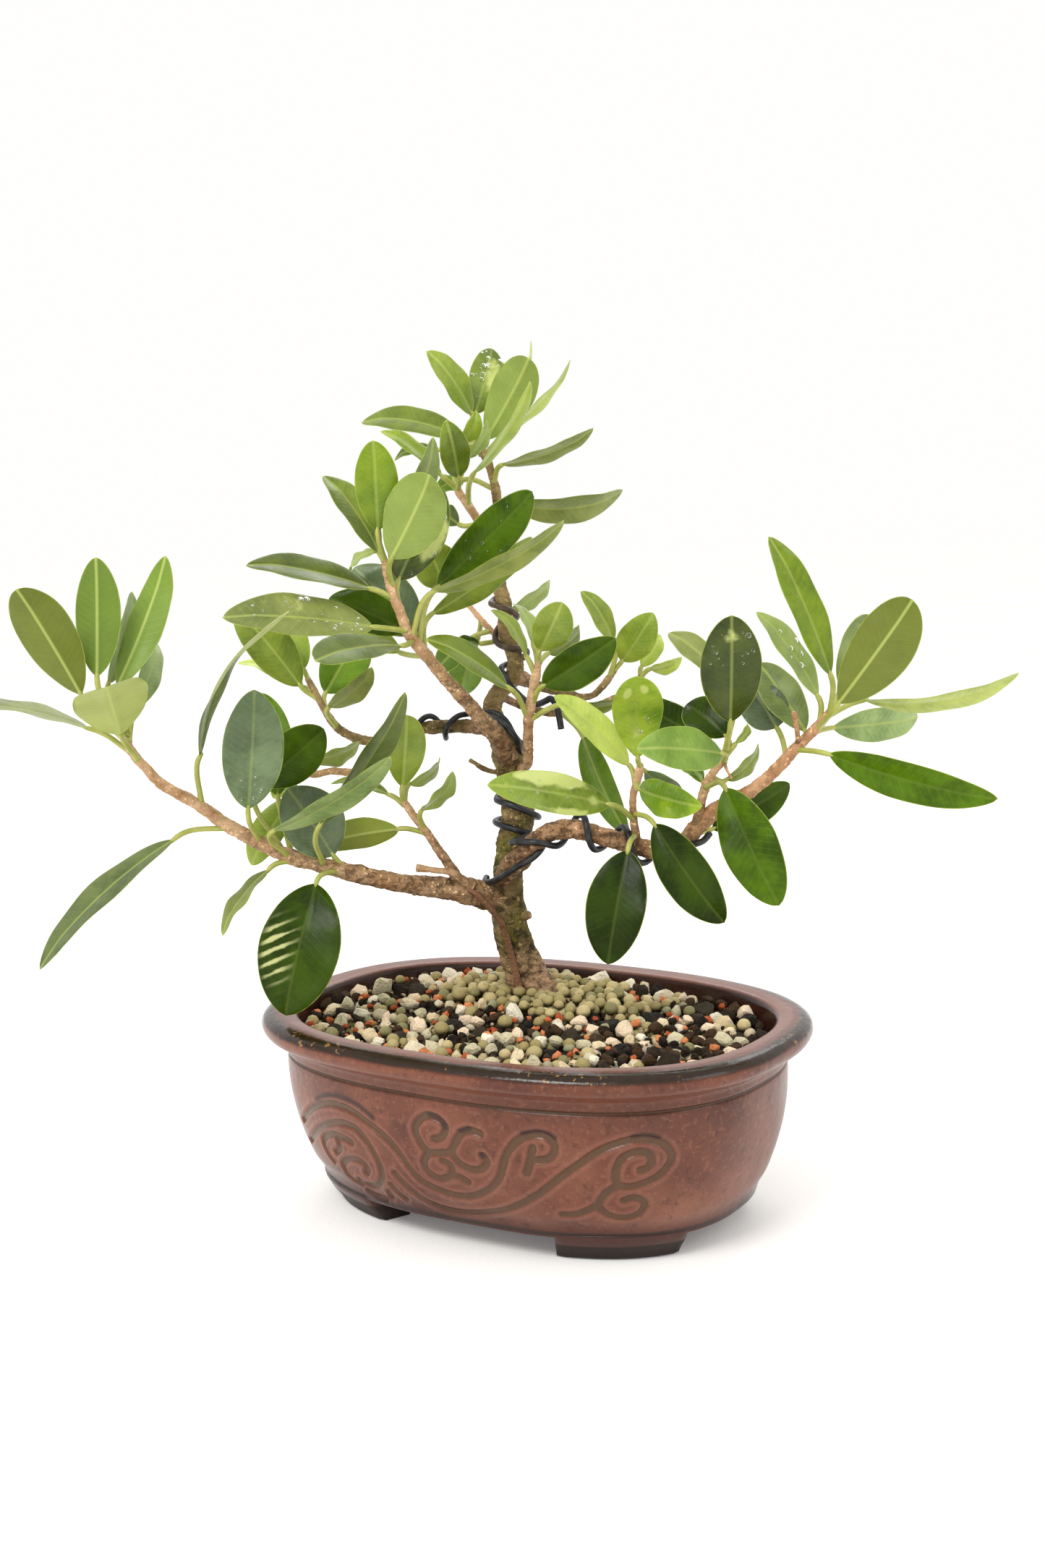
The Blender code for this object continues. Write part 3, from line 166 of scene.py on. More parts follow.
# ---------------------------------------------------------------- leaves
# name: (node, petiole start, blade base, blade tip, width, roll, look, options)
# A leaf whose node is its own name is a piece of its own; the others are one piece with their twig.
# width is the widest breadth the grid shows; roll turns the blade about its midrib: 0 shows its
# upper face to the station, 180 its under face, 90 its edge. full= is the real breadth of a blade
# seen nearly edge on; peak= where it is widest; bend= bow of the midrib towards the upper face (mm);
# sway= bow within the blade (mm); fold= rise of each half from the midrib (degrees).
LEAVES = {
    # left branch tip
    "leaf_left_01": ("leaf_left_01", (176, 1027, -27), (112, 960, -32), (23, 813, -44), 76, 168, "olive", dict(peak=.56)),
    "leaf_left_02": ("branch_left", (173, 1012, -25), (134, 935, -30), (133, 771, -26), 63, 174, "moss", dict(peak=.52)),
    "leaf_left_03": ("branch_left", (175, 1020, -25), (150, 945, -20), (186, 818, -6), 30, 48, "frost", dict(full=44)),
    "leaf_left_04": ("branch_left", (174, 1018, -25), (163, 948, -24), (231, 770, -16), 46, 150, "moss", dict(full=58, peak=.5)),
    "leaf_left_05": ("branch_left", (178, 1026, -25), (186, 978, -18), (218, 884, 4), 26, 40, "frost", dict(full=40)),
    "leaf_left_06": ("leaf_left_06", (190, 1050, -27), (167, 1016, -36), (146, 946, -68), 108, 182, "pale", dict(peak=.55)),
    "leaf_left_07": ("leaf_left_07", (185, 1043, -22), (122, 1007, -24), (-62, 972, -30), 24, 74, "pale", dict(full=66)),
    "leaf_left_08": ("leaf_left_08", (278, 1110, -20), (277, 1045, -26), (404, 848, -61), 10, 84, "grey", dict(full=58, bend=-6.5)),
    "leaf_left_09": ("leaf_left_09", (318, 1144, -18), (240, 1161, -22), (52, 1338, -36), 34, 58, "grey", dict(full=66, bend=3)),
    "leaf_left_10": ("leaf_left_10", (362, 1168, -16), (343, 1118, -25), (352, 955, -31), 86, 8, "blue", dict(peak=.52)),
    "leaf_left_11": ("branch_left", (392, 1180, -15), (360, 1084, -11), (449, 1008, -4), 72, 12, "dark", dict(peak=.5)),
    "leaf_left_12": ("branch_left", (432, 1192, -13), (404, 1104, -4), (346, 1196, -5), 46, 20, "lime", dict()),
    "leaf_left_13": ("leaf_left_13", (482, 1204, -13), (461, 1183, -14), (398, 1090, -15), 88, 8, "blue", dict(peak=.5)),
    "leaf_left_14": ("leaf_left_14", (398, 1184, -16), (378, 1149, -26), (541, 1050, -44), 34, 56, "pale", dict(full=58, bend=2, peak=.55)),
    "leaf_left_15": ("leaf_left_15", (446, 1195, -15), (443, 1140, -26), (563, 960, -33), 37, 56, "grey", dict(full=64)),
    "leaf_left_16": ("branch_left", (416, 1189, -15), (372, 1202, -18), (305, 1291, -28), 20, 60, "pale", dict(full=40)),
    "leaf_left_17": ("leaf_left_17", (468, 1203, -14), (437, 1222, -23), (394, 1404, -33), 114, 8, "dark", dict(peak=.5, bend=4, fold=14)),
    "leaf_left_18": ("branch_left", (404, 1184, -14), (384, 1100, -9), (364, 958, -8), 56, 20, "moss", dict()),
    # upright twig on the left branch
    "leaf_upright_01": ("twig_left_upright", (557, 1109, -9), (556, 1088, -12), (563, 990, -17), 57, 5, "lime", dict(peak=.62)),
    "leaf_upright_02": ("twig_left_upright", (559, 1110, -9), (566, 1084, -8), (611, 1050, 2), 17, 58, "mint", dict(full=30)),
    "leaf_upright_03": ("twig_left_upright", (559, 1113, -9), (538, 1099, -9), (458, 1080, -6), 17, 60, "olive", dict(full=32)),
    "leaf_upright_04": ("twig_left_upright", (588, 1151, -9), (551, 1146, -8), (428, 1170, 2), 43, 152, "olive", dict(full=50)),
    "leaf_upright_05": ("twig_left_upright", (586, 1146, -9), (583, 1121, -12), (628, 1070, -18), 24, 56, "mint", dict(full=38)),
    # back left branch
    "leaf_back_01": ("branch_back_left", (440, 967, 33), (415, 948, 33), (325, 837, 32), 62, 14, "olive", dict(peak=.5)),
    "leaf_back_02": ("branch_back_left", (434, 954, 34), (420, 950, 38), (330, 913, 46), 20, 58, "yellow", dict(full=34)),
    "leaf_back_03": ("branch_back_left", (429, 946, 34.5), (420, 925, 38), (388, 850, 48), 40, 20, "lime", dict()),
    "leaf_back_04": ("branch_back_left", (453, 988, 31.5), (450, 958, 35), (500, 866, 40), 66, 10, "moss", dict()),
    "leaf_back_05": ("branch_back_left", (465, 1005, 30), (455, 978, 25), (515, 926, 16), 28, 44, "pale", dict(full=42)),
    "leaf_back_06": ("twig_back_low", (420, 1064, 18), (410, 1062, 17), (378, 1102, 10), 37, 15, "lime", dict()),
    "leaf_back_07": ("twig_back_low", (430, 1070, 18), (433, 1051, 19), (499, 1028, 24), 24, 48, "mint", dict(full=36)),
    # front branch
    "leaf_front_01": ("leaf_front_01", (541, 808, -28), (541, 772, -35), (596, 655, -48), 88, 166, "leafy", dict(peak=.5, fold=10)),
    "leaf_front_02": ("branch_front", (532, 778, -29), (524, 764, -28), (449, 656, -26), 38, 48, "olive", dict(full=60)),
    "leaf_front_03": ("branch_front", (532, 776, -29), (522, 734, -32), (516, 610, -37), 61, 4, "bright", dict(peak=.55)),
    "leaf_front_04": ("leaf_front_04", (572, 886, -23), (556, 893, -31), (438, 910, -62), 42, 50, "grey", dict(full=62, peak=.66)),
    "leaf_front_05": ("leaf_front_05", (562, 872, -25), (516, 867, -30), (309, 851, -45), 60, 42, "wet", dict(full=78, peak=.5)),
    "leaf_front_06": ("leaf_front_06", (544, 826, -27), (512, 814, -29), (341, 778, -34), 32, 58, "olive", dict(full=66)),
    "leaf_front_07": ("branch_front", (572, 884, -23), (577, 876, -15), (489, 784, -10), 82, 8, "blue", dict()),
    "leaf_front_08": ("branch_front", (566, 876, -24), (560, 872, -17), (455, 826, -17), 58, 16, "dark", dict()),
    "leaf_front_09": ("leaf_front_09", (558, 856, -25), (551, 802, -24), (606, 667, -20), 78, 10, "wet", dict(peak=.5)),
    "leaf_front_10": ("branch_front", (533, 780, -29), (520, 762, -22), (482, 789, -14), 12, 58, "mint", dict(full=22)),
    "leaf_front_11": ("leaf_front_11", (578, 892, -22), (604, 812, -17), (737, 680, -13), 64, 16, "dark", dict(peak=.54)),
    "leaf_front_12": ("leaf_front_12", (569, 880, -24), (600, 818, -28), (781, 724, -38), 27, 58, "pale", dict(full=56, bend=2)),
    "leaf_front_13": ("branch_front", (586, 902, -21), (598, 848, -13), (738, 745, -6), 40, 44, "olive", dict(full=54)),
    "leaf_front_14": ("branch_front", (590, 908, -21), (552, 902, -12), (478, 876, 2), 34, 30, "lime", dict()),
    "leaf_front_15": ("branch_front", (535, 790, -29), (551, 745, -33), (602, 606, -36), 32, 44, "mint", dict(full=46)),
    # apex
    "leaf_apex_01": ("leaf_apex_01", (660, 612, 4), (652, 572, 1), (593, 485, -8), 37, 38, "lime", dict(full=46)),
    "leaf_apex_02": ("leaf_apex_02", (661, 610, 5), (657, 572, 9), (681, 480, 18), 50, 10, "wet", dict()),
    "leaf_apex_03": ("leaf_apex_03", (664, 616, 4), (672, 608, 0), (733, 494, -12), 64, 168, "leafy", dict(peak=.58)),
    "leaf_apex_04": ("twig_apex_left", (647, 698, 1), (655, 655, -8), (736, 531, -28), 18, 62, "lime", dict(full=40)),
    "leaf_apex_05": ("trunk", (664, 620, 4), (694, 562, 12), (738, 473, 28), 9, 74, "yellow", dict(full=32)),
    "leaf_apex_06": ("trunk", (669, 630, 5), (697, 600, 12), (792, 500, 28), 13, 68, "yellow", dict(full=34)),
    "leaf_apex_07": ("trunk", (683, 666, 6), (694, 643, 3), (821, 596, -8), 22, 60, "pale", dict(full=42)),
    "leaf_apex_08": ("leaf_apex_08", (686, 704, 8), (706, 696, 11), (862, 681, 16), 37, 48, "dark", dict(full=56, bend=4)),
    "leaf_apex_09": ("leaf_apex_09", (666, 628, 5), (640, 606, 10), (500, 581, 16), 33, 48, "dark", dict(full=54, bend=3)),
    "leaf_apex_10": ("twig_apex_left", (633, 678, 0), (634, 660, -5), (618, 583, -14), 43, 10, "olive", dict()),
    "leaf_apex_11": ("trunk", (664, 619, 4), (641, 612, 2), (660, 570, -2), 24, 26, "lime", dict()),
    "leaf_apex_12": ("twig_apex_left", (633, 675, 0), (646, 634, -1), (676, 584, -6), 18, 48, "mint", dict(full=26)),
    "leaf_apex_13": ("twig_apex_left", (632, 676, 0), (611, 658, -2), (529, 594, -8), 24, 52, "lime", dict(full=34)),
    "leaf_apex_14": ("twig_apex_left", (632, 674, 0), (606, 622, 4), (545, 633, 3), 14, 58, "wet", dict(full=26)),
    "leaf_apex_15": ("trunk", (684, 676, 7), (640, 664, 8), (602, 680, 4), 24, 30, "moss", dict()),
    "leaf_apex_16": ("twig_apex_left", (664, 724, 4), (634, 725, 7), (598, 708, 10), 32, 26, "grey", dict()),
    # upright twig in front of the trunk
    "leaf_middle_01": ("twig_upright", (741, 936, -17), (728, 908, -19), (683, 842, -23), 18, 58, "lime", dict(full=32)),
    "leaf_middle_02": ("twig_upright", (744, 918, -18), (737, 890, -12), (712, 832, -4), 18, 54, "mint", dict(full=30)),
    "leaf_middle_03": ("twig_upright", (745, 914, -18), (746, 900, -20), (777, 835, -27), 55, 6, "lime", dict(peak=.6)),
    "leaf_middle_04": ("twig_upright", (745, 916, -18), (758, 903, -14), (804, 866, -5), 24, 44, "mint", dict(full=32)),
    "leaf_middle_05": ("leaf_middle_05", (738, 968, -15), (751, 948, -20), (850, 884, -34), 60, 12, "dark", dict(peak=.52)),
    "leaf_middle_06": ("leaf_middle_06", (730, 992, -13), (702, 950, -22), (592, 882, -36), 27, 52, "olive", dict(full=54)),
    "leaf_middle_07": ("twig_upright", (731, 996, -13), (780, 974, -17), (862, 968, -14), 20, 60, "olive", dict(full=38)),
    # back twig
    "leaf_rear_01": ("twig_back", (694, 885, 16), (664, 890, 14), (624, 893, 14), 13, 50, "dark", dict(full=22)),
    "leaf_rear_02": ("twig_back", (678, 872, 19), (650, 884, 21), (603, 928, 24), 36, 22, "moss", dict()),
    "leaf_rear_03": ("twig_back", (666, 858, 21), (658, 893, 27), (637, 962, 33), 50, 18, "leafy", dict(peak=.4)),
    "leaf_rear_04": ("twig_back", (708, 901, 11), (706, 843, 20), (763, 804, 28), 20, 46, "mint", dict(full=30)),
    "leaf_rear_05": ("twig_back", (641, 827, 25), (615, 812, 22), (588, 750, 18), 64, 8, "olive", dict()),
    # back right branch
    "leaf_far_01": ("branch_back_right", (844, 935, 29), (848, 888, 26), (806, 817, 22), 31, 40, "lime", dict(full=38)),
    "leaf_far_02": ("branch_back_right", (850, 926, 29), (860, 914, 28), (903, 849, 22), 52, 8, "lime", dict()),
    "leaf_far_03": ("twig_back_right_low", (886, 938, 30), (887, 922, 32), (914, 877, 36), 26, 15, "yellow", dict()),
    "leaf_far_04": ("twig_back_right_low", (885, 938, 30), (899, 925, 28), (942, 912, 22), 18, 38, "yellow", dict(full=24)),
    "leaf_far_05": ("twig_back_right_low", (776, 985, 20), (806, 1019, 13), (868, 1157, -2), 40, 28, "moss", dict(full=48, peak=.45)),
    # right branch: first twig
    "leaf_right_01": ("leaf_right_01", (885, 1060, -28), (882, 1048, -31), (880, 938, -48), 72, 4, "gloss", dict(peak=.6, bend=-2)),
    "leaf_right_02": ("twig_right_one", (879, 1086, -28), (869, 1057, -26), (769, 961, -32), 42, 34, "yellow", dict(full=50)),
    "leaf_right_03": ("twig_right_one", (881, 1082, -28), (884, 1091, -33), (967, 1115, -54), 50, 20, "bright", dict()),
    "leaf_right_04": ("leaf_right_04", (876, 1132, -26), (842, 1112, -34), (676, 1084, -50), 57, 22, "wet", dict(full=62)),
    "leaf_right_05": ("leaf_right_05", (878, 1154, -25), (868, 1176, -33), (840, 1333, -42), 84, 8, "dark", dict(peak=.5)),
    "leaf_right_06": ("leaf_right_06", (876, 1124, -26), (905, 1140, -35), (1000, 1276, -48), 70, 20, "dark", dict(peak=.52)),
    "leaf_right_07": ("twig_right_one", (879, 1086, -28), (892, 1066, -20), (940, 1100, -10), 34, 20, "blue", dict()),
    # second twig
    "leaf_right_08": ("leaf_right_08", (1001, 1054, -29), (998, 1042, -37), (885, 1034, -62), 62, 20, "leafy", dict(peak=.52)),
    "leaf_right_09": ("leaf_right_09", (1004, 1036, -29), (1010, 998, -36), (1012, 853, -48), 86, 5, "wet", dict(peak=.56)),
    "leaf_right_10": ("twig_right_two", (1002, 1050, -29), (1000, 936, -20), (925, 873, -12), 36, 30, "pale", dict()),
    "leaf_right_11": ("twig_right_two", (1002, 1050, -29), (1004, 1018, -24), (948, 972, -14), 58, 12, "dark", dict()),
    "leaf_right_12": ("branch_right", (1088, 1048, -30), (1074, 1006, -23), (1030, 940, -14), 66, 12, "blue", dict(peak=.35)),
    "leaf_right_13": ("twig_right_two", (1003, 1046, -29), (1017, 1028, -26), (1036, 1000, -22), 10, 30, "yellow", dict(full=14)),
    "leaf_right_14": ("twig_right_two", (983, 1074, -28), (1004, 1078, -25), (1052, 1030, -18), 21, 56, "lime", dict(full=34)),
    "leaf_right_15": ("leaf_right_15", (976, 1088, -28), (1003, 1090, -37), (1076, 1252, -50), 79, 14, "dark", dict(peak=.52)),
    "leaf_right_16": ("twig_right_two", (968, 1117, -27), (985, 1146, -12), (1093, 1084, -10), 50, 16, "dark", dict()),
    "leaf_right_17": ("twig_right_two", (976, 1090, -27), (972, 1082, -21), (938, 1048, -12), 24, 30, "moss", dict()),
    "leaf_right_18": ("twig_right_two", (1002, 1050, -29), (985, 1032, -18), (872, 968, 6), 52, 16, "dark", dict()),
    # right branch tip
    "leaf_tip_01": ("leaf_tip_01", (1148, 986, -33), (1148, 932, -37), (1066, 742, -46), 47, 38, "bright", dict(full=58)),
    "leaf_tip_02": ("branch_right", (1134, 1001, -32), (1131, 963, -33), (1049, 845, -34), 34, 42, "mint", dict(full=44)),
    "leaf_tip_03": ("leaf_tip_03", (1130, 1008, -32), (1160, 972, -44), (1264, 828, -62), 87, 170, "olive", dict(peak=.54)),
    "leaf_tip_04": ("branch_right", (1147, 985, -33), (1163, 952, -24), (1203, 848, -12), 52, 12, "mint", dict()),
    "leaf_tip_05": ("leaf_tip_05", (1144, 990, -33), (1195, 968, -37), (1409, 935, -54), 25, 60, "pale", dict(full=48, bend=4)),
    "leaf_tip_06": ("branch_right", (1122, 1014, -32), (1152, 1006, -24), (1272, 992, -8), 48, 16, "frost", dict()),
    "leaf_tip_07": ("leaf_tip_07", (1102, 1036, -31), (1147, 1043, -39), (1378, 1106, -62), 53, 24, "dark", dict(full=60, bend=3)),
    "leaf_tip_08": ("branch_right", (1110, 1026, -31), (1113, 1010, -25), (1048, 915, -12), 54, 16, "grey", dict()),
}
PETIOLE = 0.85             # radius of a leaf stalk, mm
BLADE = 0.9                # thickness of a blade at its midrib, mm


def leaf_shape(name):
    """Frame and sizes of a leaf in mm: base, axis, upper normal, side, length, half breadth and bows."""
    _, root, base, tip, width, roll, look, opt = LEAVES[name]
    a, b, t = at(*root), at(*base), at(*tip)
    length = (t - b).length
    axis = (t - b) / length
    mid = (b + t) / 2
    eye = (EYE - mid).normalized()
    face = (eye - axis * eye.dot(axis)).normalized()
    side = axis.cross(face)
    r = math.radians(roll)
    normal = face * math.cos(r) + side * math.sin(r)
    side = axis.cross(normal)
    mm = unit_at(mid)
    half = opt.get("full", width / max(abs(math.cos(r)), 0.5)) * mm / 2
    return dict(root=a, base=b, tip=t, axis=axis, normal=normal, side=side, length=length, half=half,
                peak=opt.get("peak", 0.5), bend=opt.get("bend", 1.5), sway=opt.get("sway", 0.0),
                fold=math.radians(opt.get("fold", 9.0)), look=look, node=LEAVES[name][0])


def breadth(t, peak, sharp=1.5):
    """Outline of a blade: 0 at base and tip, 1 at peak."""
    t = min(max(t, 0.0), 1.0)
    p, q = sharp * peak, sharp * (1 - peak)
    top = peak ** p * (1 - peak) ** q
    return (t ** p) * ((1 - t) ** q) / top


def blade_point(s, t, x, lift=0.0):
    """A point of the blade: t along it, x from -1 to 1 across it, lift in mm along its normal."""
    bow = 4 * t * (1 - t)
    h = s["half"] * breadth(t, s["peak"])
    return (s["base"] + s["axis"] * (s["length"] * t)
            + s["normal"] * (s["bend"] * bow + abs(x) * h * math.sin(s["fold"]) + lift)
            + s["side"] * (s["sway"] * bow + x * h * math.cos(s["fold"])))


def stalk_point(s, f, start=None):
    """A point of the leaf stalk, f from 0 at the twig to 1 at the blade."""
    a = start or s["root"]
    b = s["base"]
    reach = (b - a).length
    c = b - s["axis"] * (0.4 * reach)
    e = a + (b - a) * 0.3
    g = 1 - f
    return a * g ** 3 + e * (3 * g * g * f) + c * (3 * g * f * f) + b * f ** 3


WIRE = 1.0
# Pot profile: (inset from the rim's outline, height), mm
OUTSIDE = [(15.75, 7.0), (13.95, 12.0), (12.0, 18.0), (10.2, 24.5), (8.8, 31.0), (7.6, 37.5), (6.95, 43.3),
           (7.5, 44.0), (6.6, 44.8), (6.0, 47.2), (3.6, 48.8), (1.0, 50.2), (0.0, 52.2), (0.35, 54.2),
           (2.2, 55.6), (5.4, 56.0), (8.6, 55.7), (9.9, 54.6)]
INSIDE = [(10.4, 52.0), (11.2, 48.6), (12.9, 40.0), (15.4, 30.0), (18.8, 21.0), (24.0, 14.0), (29.0, 12.0)]
FOOT_SECTION = [(19.4, 0.0), (17.0, 4.0), (15.0, 7.4), (17.6, 9.4), (26.5, 9.4), (27.5, 0.0)]
FOOT_ARC = (24.0, 67.0)    # part of each quarter of the outline that a foot takes, degrees
DRAINS = ((-31.0, 0.0), (31.0, 0.0))
DRAIN_RADIUS = 6.5
SCREEN_RADIUS, SCREEN_THICKNESS = 10.0, 1.2
SOIL_TOP = 48.3
DRESSING_EDGE, MOUND_RISE, MOUND_SPREAD = 50.6, 4.6, 20.0


# ---------------------------------------------------------------- training wire
# A place on a wire is (wood piece, place along its table of points, turns about it): a whole turn
# faces the station. Off the bark a place is given by its survey instead: (u, v, d).
WIRES = {
    "wire_lower": [("trunk", 14.1, -0.42), ("trunk", 13.6, -0.25), ("trunk", 13.0, 0.0), ("trunk", 12.5, 0.25),
                   ("trunk", 12.2, 0.5), ("trunk", 12.0, 0.75), ("trunk", 11.8, 1.0), ("trunk", 11.7, 1.12),
                   ("branch_right", 3.0, -0.26), ("branch_right", 4.2, 0.0), ("branch_right", 5.3, 0.25),
                   ("branch_right", 6.2, 0.5), ("branch_right", 7.0, 0.75), ("branch_right", 7.7, 1.0),
                   ("branch_right", 8.3, 1.25), ("branch_right", 9.8, 1.9), ("branch_right", 10.8, 2.3),
                   ("branch_right", 12.4, 2.9), ("branch_right", 14.2, 3.3)],
    "wire_upper": [("trunk", 26.9, -1.4), ("trunk", 26.1, -1.0), ("trunk", 25.3, -0.5), ("trunk", 23.6, 0.0),
                   ("trunk", 23.1, 0.25), ("trunk", 22.6, 0.5), ("trunk", 21.9, 0.75), ("trunk", 20.6, 1.0),
                   (727, 969, 0), (742, 974, -4), (755, 969, -7), (762, 966, -8), (769, 975, -9), (773, 990, -9),
                   (776, 1008, -9)],
    "wire_back_left": [("branch_back_left", 5.7, -1.55), ("branch_back_left", 4.7, -1.0),
                       ("branch_back_left", 2.7, 0.0), ("branch_back_left", 2.0, 0.25), (659, 986, 9), (664, 986, 3.6), (682, 985, 1.9),
                       (699, 996, 0.2), (712, 1018, -0.8), (722, 1029, 1.6)],
}


def wood_spot(name, place, turns, out):
    """A point out mm off the bark, at a place along a wood piece and turned about it."""
    table = WOOD[name]
    here = smooth(table, place)
    p, q = at(*here[:3]), at(*smooth(table, min(place + 0.1, len(table) - 1.001))[:3])
    o = at(*smooth(table, max(place - 0.1, 0.0))[:3])
    t = (q - o).normalized()
    n = EYE - p
    n = (n - t * n.dot(t)).normalized()
    a = 2 * math.pi * turns
    r = here[3] / 2 * unit_at(p) + out
    return p + (n * math.cos(a) + t.cross(n) * math.sin(a)) * r


def wire_points(name):
    spots = []
    route = WIRES[name]
    off = WIRE + GAP + 0.25
    for i, here in enumerate(route):
        on_wood = isinstance(here[0], str)
        spots.append(wood_spot(*here, off) if on_wood else at(*here))
        if i + 1 < len(route) and on_wood and route[i + 1][0] == here[0]:
            there = route[i + 1]
            count = max(1, math.ceil(abs(there[2] - here[2]) * 9))
            for k in range(1, count):
                f = k / count
                spots.append(wood_spot(here[0], here[1] + (there[1] - here[1]) * f,
                                       here[2] + (there[2] - here[2]) * f, off))
    return spots



# ================================================================ helpers
random.seed(11)
RNG = np.random.default_rng(11)
pot_low, pot_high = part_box("pot")
SHIFT = Vector(((pot_low[0] + pot_high[0]) / 2, (pot_low[1] + pot_high[1]) / 2, 0.0))
scene = bpy.context.scene


def srgb(r, g, b):
    """Linear colour from eight-bit values as a colour picker shows them."""
    def lin(c):
        c /= 255.0
        return c / 12.92 if c <= 0.04045 else ((c + 0.055) / 1.055) ** 2.4
    return (lin(r), lin(g), lin(b), 1.0)


class Look:
    """A material's node tree, built a node at a time."""

    def __init__(self, name):
        self.mat = bpy.data.materials.new(name)
        self.mat.use_nodes = True
        self.tree = self.mat.node_tree
        self.tree.nodes.clear()
        self.out = self.tree.nodes.new("ShaderNodeOutputMaterial")
        self.bsdf = self.tree.nodes.new("ShaderNodeBsdfPrincipled")
        self.tree.links.new(self.bsdf.outputs[0], self.out.inputs["Surface"])
        self.coord = None

    def put(self, socket, value):
        if isinstance(value, bpy.types.NodeSocket):
            self.tree.links.new(value, socket)
        else:
            socket.default_value = value

    def shader(self, **values):
        for key, value in values.items():
            self.put(self.bsdf.inputs[key.replace("_", " ")], value)

    def place(self, stretch=None):
        if self.coord is None:
            self.coord = self.tree.nodes.new("ShaderNodeTexCoord").outputs["Object"]
        if stretch is None:
            return self.coord
        m = self.tree.nodes.new("ShaderNodeMapping")
        self.tree.links.new(self.coord, m.inputs["Vector"])
        m.inputs["Scale"].default_value = stretch
        return m.outputs[0]

    def attr(self, name):
        n = self.tree.nodes.new("ShaderNodeAttribute")
        n.attribute_name = name
        return n.outputs["Fac"]

    def noise(self, scale, detail=3.0, rough=0.55, stretch=None, distort=0.0):
        n = self.tree.nodes.new("ShaderNodeTexNoise")
        self.tree.links.new(self.place(stretch), n.inputs["Vector"])
        n.inputs["Scale"].default_value = scale
        n.inputs["Detail"].default_value = detail
        n.inputs["Roughness"].default_value = rough
        n.inputs["Distortion"].default_value = distort
        return n.outputs["Fac"]

    def cells(self, scale, feature="F1", out="Distance", randomness=1.0):
        n = self.tree.nodes.new("ShaderNodeTexVoronoi")
        n.feature = feature
        self.tree.links.new(self.place(), n.inputs["Vector"])
        n.inputs["Scale"].default_value = scale
        n.inputs["Randomness"].default_value = randomness
        return n.outputs[out]

    def math(self, op, a, b=0.0, c=0.0, clamp=False):
        n = self.tree.nodes.new("ShaderNodeMath")
        n.operation = op
        n.use_clamp = clamp
        for i, v in enumerate((a, b, c)):
            self.put(n.inputs[i], v)
        return n.outputs[0]

    def span(self, value, lo, hi, to_lo=0.0, to_hi=1.0, smooth=True):
        n = self.tree.nodes.new("ShaderNodeMapRange")
        n.interpolation_type = "SMOOTHSTEP" if smooth else "LINEAR"
        n.clamp = True
        for key, v in (("Value", value), ("From Min", lo), ("From Max", hi), ("To Min", to_lo), ("To Max", to_hi)):
            self.put(n.inputs[key], v)
        return n.outputs[0]

    def scaled(self, colour, factor):
        n = self.tree.nodes.new("ShaderNodeVectorMath")
        n.operation = "SCALE"
        self.put(n.inputs[0], colour)
        self.put(n.inputs["Scale"], factor)
        return n.outputs[0]

    def mix(self, factor, a, b, kind="MIX"):
        n = self.tree.nodes.new("ShaderNodeMix")
        n.data_type = "RGBA"
        n.blend_type = kind
        n.clamp_factor = True
        self.put(n.inputs[0], factor)
        self.put(n.inputs[6], a)
        self.put(n.inputs[7], b)
        return n.outputs[2]

    def bump(self, height, strength=0.3, distance=0.0005):
        n = self.tree.nodes.new("ShaderNodeBump")
        n.inputs["Strength"].default_value = strength
        n.inputs["Distance"].default_value = distance
        self.put(n.inputs["Height"], height)
        self.tree.links.new(n.outputs[0], self.bsdf.inputs["Normal"])
        return n.outputs[0]


def make(name, verts, faces, mats, attrs=None, which=None, smooth=True, nodes=()):
    """A piece from points in mm in the pot's frame. faces is a list of (n, 3) or (n, 4) index arrays."""
    verts = np.asarray(verts, dtype=np.float64).reshape(-1, 3) * 0.001 + np.array(SHIFT)
    arrays = [np.asarray(f, dtype=np.int32) for f in faces if len(f)]
    mesh = bpy.data.meshes.new(name)
    mesh.vertices.add(len(verts))
    mesh.vertices.foreach_set("co", verts.astype(np.float32).ravel())
    loops = np.concatenate([a.ravel() for a in arrays])
    sizes = np.concatenate([np.full(len(a), a.shape[1], dtype=np.int32) for a in arrays])
    mesh.loops.add(len(loops))
    mesh.loops.foreach_set("vertex_index", loops)
    mesh.polygons.add(len(sizes))
    mesh.polygons.foreach_set("loop_start", np.concatenate([[0], np.cumsum(sizes)[:-1]]).astype(np.int32))
    mesh.polygons.foreach_set("use_smooth", np.full(len(sizes), smooth, dtype=bool))
    for m in mats:
        mesh.materials.append(m)
    if which is not None:
        mesh.polygons.foreach_set("material_index", np.asarray(which, dtype=np.int32))
    mesh.update(calc_edges=True)
    mesh.validate()
    for key, values in (attrs or {}).items():
        layer = mesh.attributes.new(key, "FLOAT", "POINT")
        layer.data.foreach_set("value", np.asarray(values, dtype=np.float32))
    ob = bpy.data.objects.new(name, mesh)
    scene.collection.objects.link(ob)
    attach(ob, "root")
    if nodes:
        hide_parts(*nodes)
    return ob


def grid_faces(rows, cols, wrap=True, offset=0):
    """Quads of a grid of rows by cols points; wrap joins the last column to the first."""
    r = np.arange(rows - 1)[:, None]
    c = np.arange(cols if wrap else cols - 1)[None, :]
    a = r * cols + c
    b = r * cols + (c + 1) % cols
    return np.stack([a, b, b + cols, a + cols], axis=-1).reshape(-1, 4) + offset


